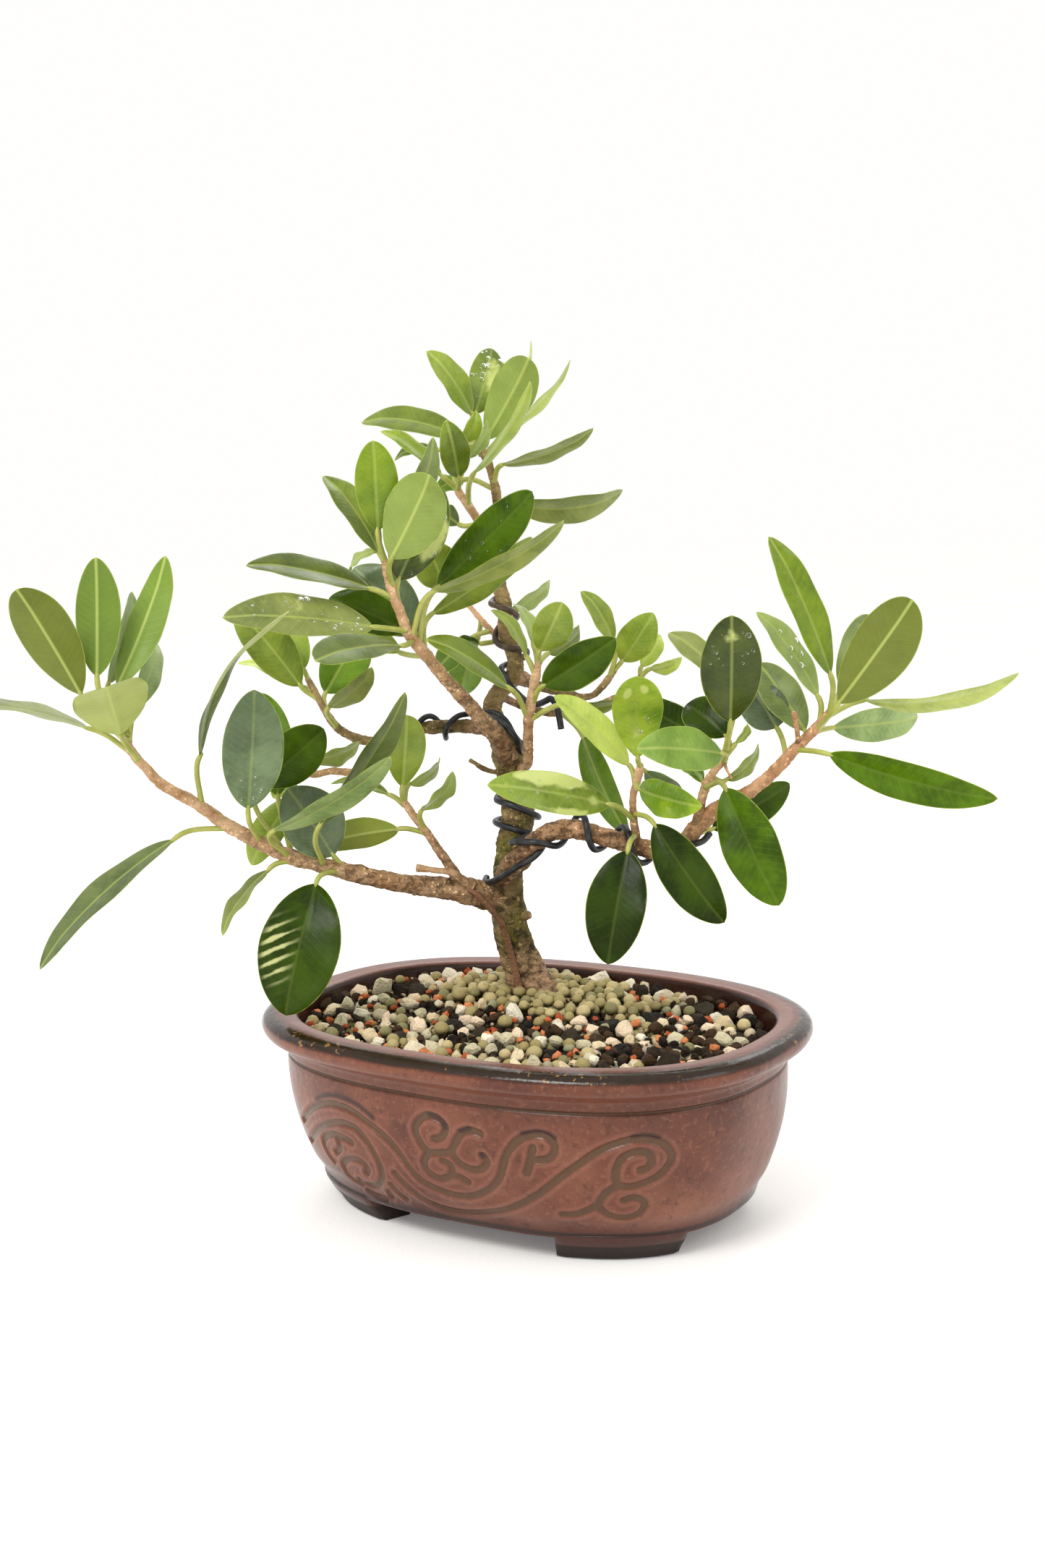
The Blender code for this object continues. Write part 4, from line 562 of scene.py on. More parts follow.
def tube(points, radii, sides, ripple=None):
    """Points, quads and fans of a closed tube; ripple(i, angle, point) gives extra radius in mm."""
    n = len(points)
    normal = EYE - points[0]
    verts, angles = [], []
    for i in range(n):
        t = (points[min(i + 1, n - 1)] - points[max(i - 1, 0)]).normalized()
        normal = (normal - t * normal.dot(t)).normalized()
        b = t.cross(normal)
        for j in range(sides):
            a = 2 * math.pi * j / sides
            d = normal * math.cos(a) + b * math.sin(a)
            r = radii[i] + (ripple(i, a, points[i] + d * radii[i]) if ripple else 0.0)
            verts.append(points[i] + d * r)
            angles.append(a)
    faces = grid_faces(n, sides)
    verts += [points[0], points[-1]]
    k = np.arange(sides)
    first = np.stack([(k + 1) % sides, k, np.full(sides, n * sides)], axis=-1)
    last = np.stack([k, (k + 1) % sides, np.full(sides, n * sides + 1 - (n - 1) * sides)], axis=-1) + (n - 1) * sides
    return verts, faces, np.concatenate([first, last])


# ================================================================ camera, floor, light
camera = bpy.data.cameras.new("camera")
camera_ob = bpy.data.objects.new("camera", camera)
scene.collection.objects.link(camera_ob)
camera.sensor_fit = "VERTICAL"
camera.sensor_height = 36.0
camera.lens = GRID_RANGE / 2168.0 * 36.0
camera.clip_start, camera.clip_end = 0.01, 20.0
turn = Matrix((ACROSS, UPWARD, -AHEAD)).transposed().to_4x4()
turn.translation = EYE * 0.001 + SHIFT
camera_ob.matrix_world = turn
scene.camera = camera_ob
scene.view_settings.view_transform = "Standard"


def aim(ob, target):
    ob.rotation_euler = (Vector(target) - ob.location).to_track_quat("-Z", "Y").to_euler()


def soft_light(name, place, size, watts, colour=(1, 1, 1)):
    lamp = bpy.data.lights.new(name, "AREA")
    lamp.shape = "RECTANGLE"
    lamp.size, lamp.size_y = size
    lamp.energy = watts
    lamp.color = colour
    ob = bpy.data.objects.new(name, lamp)
    scene.collection.objects.link(ob)
    ob.location = place
    aim(ob, (0, 0, 0.1))
    return ob


side_dir = Vector((ACROSS.x, ACROSS.y, 0)).normalized()
back_dir = LEVEL.copy()
KEY = -back_dir * 0.75 - side_dir * 0.55 + Vector((0, 0, 1.0))
FILL = -back_dir * 0.55 + side_dir * 0.95 + Vector((0, 0, 0.75))
RIM_LIGHT = back_dir * 0.9 + side_dir * 0.2 + Vector((0, 0, 0.95))
soft_light("key_light", KEY, (0.6, 0.45), 9.5, (1.0, 0.985, 0.96))
soft_light("fill_light", FILL, (0.6, 0.6), 2.6, (1.0, 0.99, 0.97))
soft_light("back_light", RIM_LIGHT, (1.0, 0.6), 5.0, (1.0, 1.0, 1.0))

world = bpy.data.worlds.new("studio")
scene.world = world
world.use_nodes = True
world.node_tree.nodes["Background"].inputs["Color"].default_value = (1.0, 0.995, 0.985, 1.0)
world.node_tree.nodes["Background"].inputs["Strength"].default_value = 1.0

cloth = Look("floor_cloth")
cloth.shader(Base_Color=cloth.mix(cloth.span(cloth.noise(9.0, 3.0), 0.3, 0.7), (0.90, 0.885, 0.86, 1), (0.93, 0.925, 0.91, 1)),
             Roughness=0.9)
cloth.bsdf.inputs["Emission Color"].default_value = (1.0, 1.0, 1.0, 1.0)
cloth.bsdf.inputs["Emission Strength"].default_value = 0.10
weave = cloth.math("ADD", cloth.math("SINE", cloth.math("MULTIPLY", cloth.noise(2.0, 1.0), 40.0)),
                   cloth.noise(900.0, 2.0))
cloth.bump(weave, 0.12, 0.0004)
floor_mesh = bpy.data.meshes.new("floor")
R, STEPS = 6.0, 64
floor_mesh.from_pydata([(0, 0, -0.0002)] + [(R * math.cos(2 * math.pi * i / STEPS), R * math.sin(2 * math.pi * i / STEPS), -0.0002)
                                           for i in range(STEPS)], [],
                       [(0, 1 + i, 1 + (i + 1) % STEPS) for i in range(STEPS)])
floor_mesh.materials.append(cloth.mat)
floor = bpy.data.objects.new("floor", floor_mesh)
scene.collection.objects.link(floor)

# ================================================================ leaves
# look: upper face, its darker variant, under face, roughness of the upper face
LOOKS = {
    "olive": ((106, 122, 34), (74, 90, 18), (148, 162, 56), 0.34),
    "moss": ((94, 124, 30), (64, 92, 16), (138, 170, 54), 0.32),
    "frost": ((132, 150, 92), (98, 120, 66), (174, 184, 162), 0.40),
    "pale": ((122, 130, 66), (94, 106, 48), (170, 182, 94), 0.42),
    "grey": ((100, 114, 58), (74, 90, 42), (144, 148, 94), 0.40),
    "blue": ((90, 106, 72), (64, 80, 52), (128, 140, 84), 0.30),
    "dark": ((52, 74, 5), (31, 47, 3), (112, 126, 44), 0.29),
    "lime": ((134, 150, 52), (102, 124, 32), (164, 172, 80), 0.32),
    "mint": ((132, 148, 80), (102, 122, 58), (164, 174, 114), 0.36),
    "yellow": ((162, 176, 80), (126, 146, 52), (180, 190, 112), 0.34),
    "leafy": ((118, 146, 56), (86, 116, 34), (146, 166, 76), 0.36),
    "bright": ((122, 144, 26), (80, 110, 12), (158, 160, 50), 0.26),
    "wet": ((100, 116, 40), (62, 78, 18), (154, 160, 84), 0.28),
    "gloss": ((128, 148, 46), (68, 102, 16), (160, 166, 68), 0.28),
}


RIB = {"dark": 0.06, "blue": 0.20, "wet": 0.30, "gloss": 0.22, "bright": 0.30}
# brightness factor of each blade, given leaf by leaf: partly the blade's own tone, partly painted light and shade
BLADE_TONE_AND_SHADE = {
    "leaf_left_01": 0.5, "leaf_upright_03": 1.25, "leaf_upright_04": 0.75, "leaf_back_01": 1.25,
    "leaf_front_02": 1.25, "leaf_front_06": 0.6, "leaf_front_13": 1.25, "leaf_apex_10": 1.25, "leaf_middle_06": 0.95,
    "leaf_middle_07": 1.25, "leaf_rear_05": 1.25, "leaf_tip_03": 0.5, "leaf_left_02": 0.55, "leaf_left_04": 0.65,
    "leaf_left_18": 1.25, "leaf_back_04": 1.25, "leaf_apex_15": 1.25, "leaf_rear_02": 0.95, "leaf_right_17": 1.25,
    "leaf_left_03": 1.05, "leaf_left_05": 1.25, "leaf_tip_06": 1.25, "leaf_left_06": 0.9, "leaf_left_14": 1.2,
    "leaf_left_16": 1.05, "leaf_back_05": 1.25, "leaf_front_12": 1.35, "leaf_apex_07": 1.25, "leaf_right_10": 1.05,
    "leaf_tip_05": 2.2, "leaf_left_08": 1.0, "leaf_left_09": 0.85, "leaf_left_15": 1.05, "leaf_front_04": 0.95,
    "leaf_apex_16": 1.05, "leaf_tip_08": 1.25, "leaf_left_10": 1.45, "leaf_left_13": 0.95, "leaf_front_07": 1.25,
    "leaf_right_07": 1.25, "leaf_right_12": 0.85, "leaf_left_11": 1.5, "leaf_left_17": 0.9, "leaf_front_08": 1.25,
    "leaf_front_11": 1.75, "leaf_apex_08": 1.25, "leaf_apex_09": 1.0, "leaf_middle_05": 1.25, "leaf_rear_01": 1.25,
    "leaf_right_05": 0.6, "leaf_right_06": 0.8, "leaf_right_11": 0.85, "leaf_right_15": 1.95, "leaf_right_16": 1.25,
    "leaf_right_18": 1.15, "leaf_tip_07": 2.2, "leaf_left_12": 1.25, "leaf_upright_01": 0.95, "leaf_back_03": 1.25,
    "leaf_back_06": 1.25, "leaf_front_14": 1.05, "leaf_apex_01": 1.05, "leaf_apex_04": 1.25, "leaf_apex_11": 1.25,
    "leaf_apex_13": 1.25, "leaf_middle_01": 0.95, "leaf_middle_03": 0.9, "leaf_far_01": 0.95, "leaf_far_02": 1.25,
    "leaf_upright_02": 1.25, "leaf_upright_05": 1.25, "leaf_back_07": 1.25, "leaf_front_10": 1.25,
    "leaf_front_15": 0.75, "leaf_apex_12": 1.25, "leaf_middle_02": 1.2, "leaf_middle_04": 0.75, "leaf_rear_04": 1.25,
    "leaf_tip_02": 1.15, "leaf_tip_04": 0.75, "leaf_back_02": 1.25, "leaf_far_03": 1.25, "leaf_far_04": 1.25,
    "leaf_right_02": 1.2, "leaf_right_13": 0.8, "leaf_front_01": 0.8, "leaf_apex_03": 0.85, "leaf_rear_03": 1.25,
    "leaf_right_08": 1.05, "leaf_front_03": 0.9, "leaf_right_03": 1.25, "leaf_tip_01": 0.8, "leaf_front_05": 1.05,
    "leaf_front_09": 0.65, "leaf_apex_02": 1.3, "leaf_apex_14": 1.25, "leaf_right_04": 1.45, "leaf_right_09": 0.45,
    "leaf_right_01": 1.35,
}


def leaf_material(look):
    upper, deep, under, rough = LOOKS[look]
    m = Look("leaf_" + look)
    below = m.attr("under")
    away, edge, phase, rnd = m.attr("midrib_mm"), m.attr("edge_mm"), m.attr("phase"), m.attr("chance")
    vein = m.math("MULTIPLY", m.math("PINGPONG", phase, 0.5), 2.0)
    inside = m.math("MULTIPLY", m.span(away, 0.1, 0.9), m.span(edge, 0.2, 1.3))
    vein_line = m.math("MULTIPLY", m.span(vein, 0.74, 1.0), inside)
    blotch = m.span(m.noise(95.0, 4.0, 0.6), 0.36, 0.66)
    broad = m.span(m.noise(38.0, 3.0, 0.5), 0.40, 0.62)
    fine = m.noise(700.0, 3.0, 0.5)
    top = m.mix(blotch, srgb(*deep), srgb(*upper))
    top = m.mix(m.math("MULTIPLY", broad, 0.35), top, srgb(*[min(255, int(c * 1.12) + 4) for c in upper]))
    top = m.mix(m.math("MULTIPLY", vein_line, 0.12), top, srgb(*[min(255, int(c * 1.25) + 12) for c in upper]))
    low = m.mix(m.math("MULTIPLY", blotch, 0.5), srgb(*under), srgb(*[int(c * 0.86) for c in under]))
    low = m.mix(m.math("MULTIPLY", vein_line, 0.16), low, srgb(*[min(255, int(c * 1.12) + 8) for c in under]))
    colour = m.mix(below, top, low)
    colour = m.mix(m.math("MULTIPLY", m.span(fine, 0.50, 0.75), 0.10), colour,
                   srgb(*[min(255, int(c * 1.25) + 10) for c in upper]))
    # scaled by each blade's factor, partly its own tone and partly painted light and shade
    colour = m.scaled(colour, m.attr("tone"))
    rib = m.math("MULTIPLY", m.span(away, 0.16, 0.62, 1.0, 0.0),
                 m.math("MULTIPLY_ADD", below, 0.28, RIB.get(look, 0.42)))
    colour = m.mix(rib, colour, srgb(176, 188, 98))
    rim = m.math("MULTIPLY", m.span(edge, 0.03, 0.34, 1.0, 0.0), 0.6)
    colour = m.mix(rim, colour, srgb(166, 182, 76))
    # painted sheen: pale yellow painted highlight patches on the blade
    painted_sheen = m.attr("painted_sheen")
    ragged = m.math("ADD", painted_sheen, m.math("MULTIPLY_ADD", m.noise(150.0, 4.0, 0.6), 1.1, -0.55))
    shine = m.math("MULTIPLY", m.span(ragged, 0.40, 0.72), m.span(painted_sheen, 0.05, 0.3))
    colour = m.mix(m.math("MULTIPLY", shine, 0.78), colour, srgb(196, 204, 122))
    # painted reflection: pale streaks along the veins where the blade mirrors the light
    band = m.math("MULTIPLY", m.math("PINGPONG", m.math("MULTIPLY", phase, 0.62), 0.5), 2.0)
    painted_streak = m.math("MULTIPLY", m.span(m.math("ADD", band, m.math("MULTIPLY_ADD", m.noise(170.0, 4.0, 0.6), 1.3, -0.65)), 0.50, 0.92),
                    m.attr("painted_streak"))
    colour = m.mix(m.math("MULTIPLY", painted_streak, 0.75), colour, srgb(206, 208, 144))
    m.shader(Base_Color=colour, Roughness=m.math("ADD", m.math("MULTIPLY_ADD", below, 0.16, rough),
                                                 m.span(m.noise(160.0, 3.0), 0.3, 0.7, -0.05, 0.07)))
    m.bsdf.inputs["Specular IOR Level"].default_value = 0.10 if look == "dark" else 0.24 if rough < 0.3 else 0.34
    m.bsdf.inputs["Coat Weight"].default_value = 0.03 if look == "dark" else 0.07 if rough < 0.3 else 0.04
    m.bsdf.inputs["Coat Roughness"].default_value = 0.16
    m.bsdf.inputs["Subsurface Weight"].default_value = 0.0
    height = m.math("ADD", m.math("MULTIPLY", vein_line, 0.20 if rough < 0.3 else 0.26), m.math("MULTIPLY", fine, 0.4))
    height = m.math("ADD", height, m.math("MULTIPLY", m.noise(220.0, 3.0), 0.5))
    m.bump(height, 0.26, 0.00035)
    return m.mat


MATS = {}


def look_material(look):
    if look not in MATS:
        MATS[look] = leaf_material(look)
    return MATS[look]


stalk = Look("leaf_stalk")
stalk.shader(Base_Color=stalk.mix(stalk.span(stalk.noise(240.0, 3.0), 0.3, 0.7), srgb(146, 152, 62), srgb(170, 172, 88)),
             Roughness=stalk.span(stalk.noise(500.0), 0.3, 0.7, 0.34, 0.48))
stalk.bump(stalk.noise(1600.0), 0.15, 0.0003)

# blades whose surface differs from the rest of their kind
LOOK_OF = {"leaf_front_05": "pale", "leaf_apex_08": "pale", "leaf_apex_09": "olive", "leaf_left_14": "frost"}


def look_of(name):
    return LOOK_OF.get(name, LEAVES[name][6])


ALONG, ACROSS_STEPS = 30, 14


# painted highlight patches on some blades, a painted sheen: place along and across the blade, reach along and across,
# strength
PAINTED_SHEEN = {
    "leaf_right_01": ((0.80, -0.42, 0.09, 0.26, 1.0), (0.84, 0.38, 0.07, 0.24, 1.0), (0.30, 0.0, 0.16, 0.5, 0.5)),
    "leaf_right_04": ((0.50, 0.72, 0.44, 0.50, 1.0), (0.40, -0.85, 0.34, 0.30, 0.75), (0.14, 0.0, 0.14, 0.8, 0.7), (0.9, 0.0, 0.12, 0.8, 0.6)),
    "leaf_front_05": ((0.60, 0.5, 0.32, 0.7, 0.45),),
    "leaf_right_09": ((0.84, -0.1, 0.09, 0.6, 0.62),),
    "leaf_right_03": ((0.5, 0.4, 0.3, 0.6, 0.5),),
    "leaf_right_08": ((0.55, 0.4, 0.3, 0.5, 0.35),),
    "leaf_front_09": ((0.5, 0.6, 0.4, 0.5, 0.8),),
    "leaf_right_07": ((0.5, 0.4, 0.3, 0.6, 0.5),),
    "leaf_apex_02": ((0.6, 0.3, 0.4, 0.7, 0.7),),
}
# painted reflection streaks on one blade: place along and across it, reach along and across
REFLECTION_STREAKS = {"leaf_left_17": (0.55, 0.54, 0.21, 0.34)}


def leaf_mesh(name):
    """High-resolution leaf: points, quads, material index and attributes."""
    s = leaf_shape(name)
    rnd = random.Random(name)
    chance = rnd.random()
    wave, phase = rnd.uniform(0.15, 0.5), rnd.uniform(0, 6.28)
    lean = rnd.uniform(-0.05, 0.05)
    verts, under, rib_mm, edge_mm, phases, painted_sheen, painted_streak = [], [], [], [], [], [], []
    patches, stripes = PAINTED_SHEEN.get(name, ()), REFLECTION_STREAKS.get(name)
    pitch = max(s["length"] / 17.0, 1.4)
    xs = [math.sin(math.pi / 2 * (2 * j / ACROSS_STEPS - 1)) * 0.5 + (2 * j / ACROSS_STEPS - 1) * 0.5
          for j in range(ACROSS_STEPS + 1)]
    for face in (0, 1):
        for i in range(ALONG + 1):
            f = i / ALONG
            t = f - 0.5 * math.sin(2 * math.pi * f) / (2 * math.pi)
            h = s["half"] * breadth(t, s["peak"], 1.28)
            h = max(h, PETIOLE * 0.55 if t < 0.3 else 0.10)
            bow = 4 * t * (1 - t)
            tip_curl = -0.9 * max(0.0, t - 0.8) / 0.2
            for j, x in enumerate(xs):
                side_h = h * (1 + lean * math.copysign(1, x) * abs(x))
                ax = abs(x)
                rise = ax * h * math.sin(s["fold"]) * (1.25 - 0.35 * ax)
                ripple = wave * ax * ax * math.sin(2 * math.pi * 2.2 * t + phase + (2.1 if x > 0 else 0.0)) * bow
                away = ax * h
                thick = 0.42 * (1 - ax ** 6) * (0.35 + 0.65 * min(1.0, bow * 2))
                ph = t * s["length"] / pitch - away * 0.42 / pitch * 1.6
                v = 1 - abs((ph % 1.0) * 2 - 1)
                lift = s["bend"] * bow + rise + ripple + tip_curl
                if face == 0:
                    lift += thick / 2 - 0.22 * math.exp(-(away / 0.55) ** 2) * min(1, bow * 3) \
                        + 0.05 * (v - 0.5) * min(1.0, away)
                else:
                    lift -= thick / 2 + 0.42 * math.exp(-(away / 0.6) ** 2) * (1 - 0.7 * t)
                verts.append(s["base"] + s["axis"] * (s["length"] * t) + s["normal"] * lift
                             + s["side"] * (s["sway"] * bow + math.copysign(side_h * ax, x) * math.cos(s["fold"])))
                under.append(float(face))
                rib_mm.append(away)
                edge_mm.append((1 - ax) * h)
                phases.append(ph)
                glow = 0.0
                for pt, px, st, sx, strength in patches:
                    glow = max(glow, strength * math.exp(-((t - pt) / st) ** 2 - ((x - px) / sx) ** 2))
                painted_sheen.append(glow)
                near = 0.0
                if stripes:
                    pt, px, st, sx = stripes
                    near = max(0.0, min(1.0, 1.6 * math.exp(-((t - pt) / st) ** 4 - ((x - px) / sx) ** 4)))
                painted_streak.append(near)
    cols = ACROSS_STEPS + 1
    count = (ALONG + 1) * cols
    top = grid_faces(ALONG + 1, cols, wrap=False)
    bottom = grid_faces(ALONG + 1, cols, wrap=False, offset=count)[:, ::-1]
    rim = []
    for i in range(ALONG):
        for j, turn_round in ((0, False), (cols - 1, True)):
            a, b = i * cols + j, (i + 1) * cols + j
            quad = [a, b, b + count, a + count]
            rim.append(quad[::-1] if turn_round else quad)
    for i, turn_round in ((0, True), (ALONG, False)):
        for j in range(cols - 1):
            a, b = i * cols + j, i * cols + j + 1
            quad = [a, b, b + count, a + count]
            rim.append(quad[::-1] if turn_round else quad)
    faces = np.concatenate([top, bottom, np.array(rim)])
    # stalk
    steps = 14
    pts = [stalk_point(s, k / steps) for k in range(steps + 1)]
    pts.append(s["base"] + s["axis"] * min(1.2, s["length"] * 0.05))
    radii = [0.78 + 0.30 * math.exp(-k / 1.2) for k in range(steps + 1)]
    radii[-1], last = 0.70, 0.45
    radii.append(last)
    sv, sf, sc = tube(pts, radii, 8)
    base = len(verts)
    total = base + len(sv)
    verts += sv
    more = [0.0] * len(sv)
    attrs = {"under": under + more, "midrib_mm": rib_mm + [9.0] * len(sv), "edge_mm": edge_mm + [9.0] * len(sv),
             "phase": phases + more, "chance": [chance] * total, "painted_sheen": painted_sheen + more, "painted_streak": painted_streak + more,
             "tone": [BLADE_TONE_AND_SHADE.get(name, 1.0)] * total}
    quads = np.concatenate([faces, sf + base])
    tris = sc + base
    which = np.concatenate([np.zeros(len(faces), int), np.ones(len(sf), int), np.ones(len(sc), int)])
    return verts, quads, tris, which, attrs


def add_leaves(name, members, nodes):
    """One piece from several leaves, with a material for each look and one for the stalks."""
    looks = sorted({look_of(m) for m in members})
    mats = [look_material(k) for k in looks] + [stalk.mat]
    V, Q, T, WQ, WT, A = [], [], [], [], [], {}
    for member in members:
        verts, quads, tris, which, attrs = leaf_mesh(member)
        own = looks.index(look_of(member))
        base = len(V)
        V += verts
        Q.append(quads + base)
        T.append(tris + base)
        index = np.where(which == 0, own, len(looks))
        WQ.append(index[:len(quads)])
        WT.append(index[len(quads):])
        for k, v in attrs.items():
            A.setdefault(k, []).extend(v)
    return make(name, [tuple(v) for v in V], [np.concatenate(Q), np.concatenate(T)], mats, A,
                np.concatenate(WQ + WT), nodes=nodes)


hosts = {}
for leaf, entry in LEAVES.items():
    if entry[0] == leaf:
        add_leaves("look_" + leaf, [leaf], [leaf])
    else:
        hosts.setdefault(entry[0], []).append(leaf)
for host, members in hosts.items():
    add_leaves("foliage_" + host, members, [host])

# ================================================================ wood
def resampled(name, step):
    """Smooth centre line and radii in mm, a point every step or so, and the length at each."""
    table = WOOD[name]
    pts, radii = [], []
    for i in range(len(table) - 1):
        a, b = at(*table[i][:3]), at(*table[i + 1][:3])
        count = max(1, round((b - a).length / step))
        for k in range(count):
            row = smooth(table, i + k / count)
            p = at(*row[:3])
            pts.append(p)
            radii.append(row[3] / 2 * unit_at(p))
    p = at(*table[-1][:3])
    pts.append(p)
    radii.append(table[-1][3] / 2 * unit_at(p))
    run = [0.0]
    for a, b in zip(pts, pts[1:]):
        run.append(run[-1] + (b - a).length)
    return pts, radii, run


def bark_piece(strands, name, mats, nodes):
    V, Q, T, A = [], [], [], {"along": [], "girth": [], "age": [], "vine": []}
    for strand, step, sides in strands:
        pts, radii, run = resampled(strand, step)
        rnd = random.Random("bark " + strand)
        length = run[-1]
        thick = max(radii)
        rings = []
        s = rnd.uniform(0.5, 2.0)
        while s < length:
            rings.append((s, rnd.uniform(0.5, 1.0)))
            s += rnd.uniform(1.6, 4.2) * (1.0 if thick < 3 else 1.25)
        ring_at = []
        for k, s in enumerate(run):
            near = min(rings, key=lambda q: abs(q[0] - s)) if rings else (1e9, 0)
            d = s - near[0]
            r = radii[k]
            ring_at.append(near[1] * (0.07 * min(r, 2.4) * math.exp(-(d / 0.45) ** 2)
                                      - 0.10 * math.exp(-((d - 0.75) / 0.28) ** 2)))
        is_trunk = strand == "trunk"
        root = strand in PARENT

        def ripple(i, a, p):
            r = radii[i]
            q = p * 0.33
            lump = noise.noise(q) * 0.15 * min(r, 3.6) + noise.noise(p * 0.95) * 0.10 * min(r, 3.0)
            fine = noise.noise(p * 2.6) * 0.13 * min(r / 2.0, 1.3)
            out = lump + fine + ring_at[i] * (0.7 + 0.6 * noise.noise(p * 0.5))
            if is_trunk:
                low = max(0.0, 1.0 - run[i] / 34.0)
                out += low * 1.0 * math.sin(3 * a + 0.7) + low * 0.7 * math.sin(5 * a + 2.0 + run[i] * 0.04)
                out += 0.22 * math.sin(4 * a + run[i] * 0.11) * min(1.0, r / 4)
            if root:
                out += 0.20 * r * math.exp(-max(run[i] - thick * 1.8, 0.0) / (1.2 * thick))
            return out
        verts, quads, tris = tube(pts, radii, sides, ripple)
        base = len(V)
        V += verts
        Q.append(quads + base)
        T.append(tris + base)
        for i in range(len(pts)):
            A["along"] += [run[i] / max(length, 1)] * sides
            A["girth"] += [radii[i]] * sides
            A["vine"] += [float(strand == "strand")] * sides
            A["age"] += [max(0.0, 1 - run[i] / length) if strand not in ("trunk",) else max(0.0, 1 - run[i] / (length * 0.75))] * sides
        for end in (0, -1):
            A["along"].append(float(end != 0))
            A["girth"].append(radii[end])
            A["age"].append(0.5)
            A["vine"].append(float(strand == "strand"))
    return make(name, [tuple(v) for v in V], [np.concatenate(Q), np.concatenate(T)], mats, A, nodes=nodes)


def bark_material(name, light, mid, dark, moss, root=(96, 76, 48), foot=False):
    m = Look(name)
    coarse = m.noise(150.0, 4.0, 0.62)
    rings = m.noise(420.0, 3.0, 0.6, stretch=(0.35, 0.35, 1.6))
    cracks = m.noise(360.0, 5.0, 0.72)
    age, girth = m.attr("age"), m.attr("girth")
    colour = m.mix(m.span(coarse, 0.34, 0.66), srgb(*mid), srgb(*light))
    colour = m.mix(m.math("MULTIPLY", m.span(age, 0.35, 1.0), 0.62), colour, srgb(*root))
    if moss:
        growth = m.math("MULTIPLY", m.span(m.noise(85.0, 4.0, 0.6), 0.40, 0.60), m.span(girth, 2.0, 4.0))
        colour = m.mix(m.math("MULTIPLY", growth, moss), colour, srgb(112, 108, 34))
    if foot:
        low = m.math("MULTIPLY", m.span(m.attr("along"), 0.09, 0.18, 1.0, 0.0), m.span(coarse, 0.34, 0.6, 0.65, 1.0))
        colour = m.mix(low, colour, srgb(186, 148, 116))
    grown = m.math("MULTIPLY", m.span(age, 0.05, 0.75, 0.25, 1.0), m.span(girth, 0.8, 3.2, 0.55, 1.0))
    colour = m.mix(m.math("MULTIPLY", m.span(rings, 0.46, 0.68, 0.0, 0.62), grown), colour, srgb(*dark))
    colour = m.mix(m.math("MULTIPLY", m.span(cracks, 0.53, 0.66, 0.0, 0.78), grown), colour, srgb(*dark))
    colour = m.mix(m.math("MULTIPLY", m.span(m.noise(60.0, 3.0, 0.5), 0.50, 0.68, 0.0, 0.4), grown), colour, srgb(*[int(c * 0.60) for c in mid]))
    pale = srgb(min(255, light[0] + 44), min(255, light[1] + 38), min(255, light[2] + 28))
    spots = m.math("MULTIPLY", m.span(m.cells(620.0), 0.10, 0.30, 1.0, 0.0), m.span(m.noise(130.0), 0.46, 0.58))
    colour = m.mix(m.math("MULTIPLY", spots, 0.85), colour, pale)
    colour = m.mix(m.span(m.noise(520.0, 4.0, 0.6), 0.60, 0.68, 0.0, 0.65), colour, pale)
    colour = m.mix(m.math("MULTIPLY", m.attr("vine"), m.span(coarse, 0.3, 0.7, 0.6, 0.9)), colour, srgb(124, 80, 58))
    m.shader(Base_Color=colour, Roughness=m.span(coarse, 0.3, 0.7, 0.62, 0.86))
    m.bsdf.inputs["Specular IOR Level"].default_value = 0.32
    h = m.math("ADD", m.math("MULTIPLY", rings, 0.8), m.math("MULTIPLY", m.noise(1300.0, 3.0, 0.6), 0.5))
    h = m.math("SUBTRACT", h, m.math("MULTIPLY", m.span(cracks, 0.50, 0.66, 0.0, 0.9), grown))
    m.bump(m.math("SUBTRACT", h, m.math("MULTIPLY", m.span(m.cells(760.0), 0.0, 0.3, 1.0, 0.0), 0.35)), 0.9, 0.0009)
    return m.mat


old_bark = bark_material("bark_old", (160, 136, 92), (102, 82, 44), (36, 26, 12), 0.72, (94, 78, 36), True)
tan_bark = bark_material("bark_tan", (208, 172, 134), (172, 130, 90), (88, 60, 34), 0.12, (112, 84, 52))
red_bark = bark_material("bark_red", (216, 170, 132), (168, 122, 84), (70, 46, 26), 0.3, (92, 70, 40))
WOOD["strand"] = [(640, 1226, -11.3, 7), (655, 1234, -11.9, 8), (672, 1250, -10.2, 9), (689, 1270, -8.6, 9),
                  (699, 1290, -7.4, 9), (706, 1315, -7.0, 9), (712, 1340, -7.0, 10), (718, 1365, -7.0, 10),
                  (724, 1390, -6.4, 10)]
WOOD["knob"] = [(716, 1266, -3, 16), (726, 1266, -5, 15), (732, 1265, -6, 11)]
WOOD["stub_trunk"] = [(716, 1203, -3, 10), (727, 1198, -8, 8), (732, 1192, -9, 7)]
TINT = {"branch_front": tan_bark, "branch_left": tan_bark, "twig_left_upright": tan_bark, "branch_right": red_bark,
        "twig_right_one": tan_bark, "twig_right_two": tan_bark, "twig_upright": tan_bark,
        "twig_apex_left": tan_bark, "twig_back": red_bark, "twig_back_low": tan_bark}
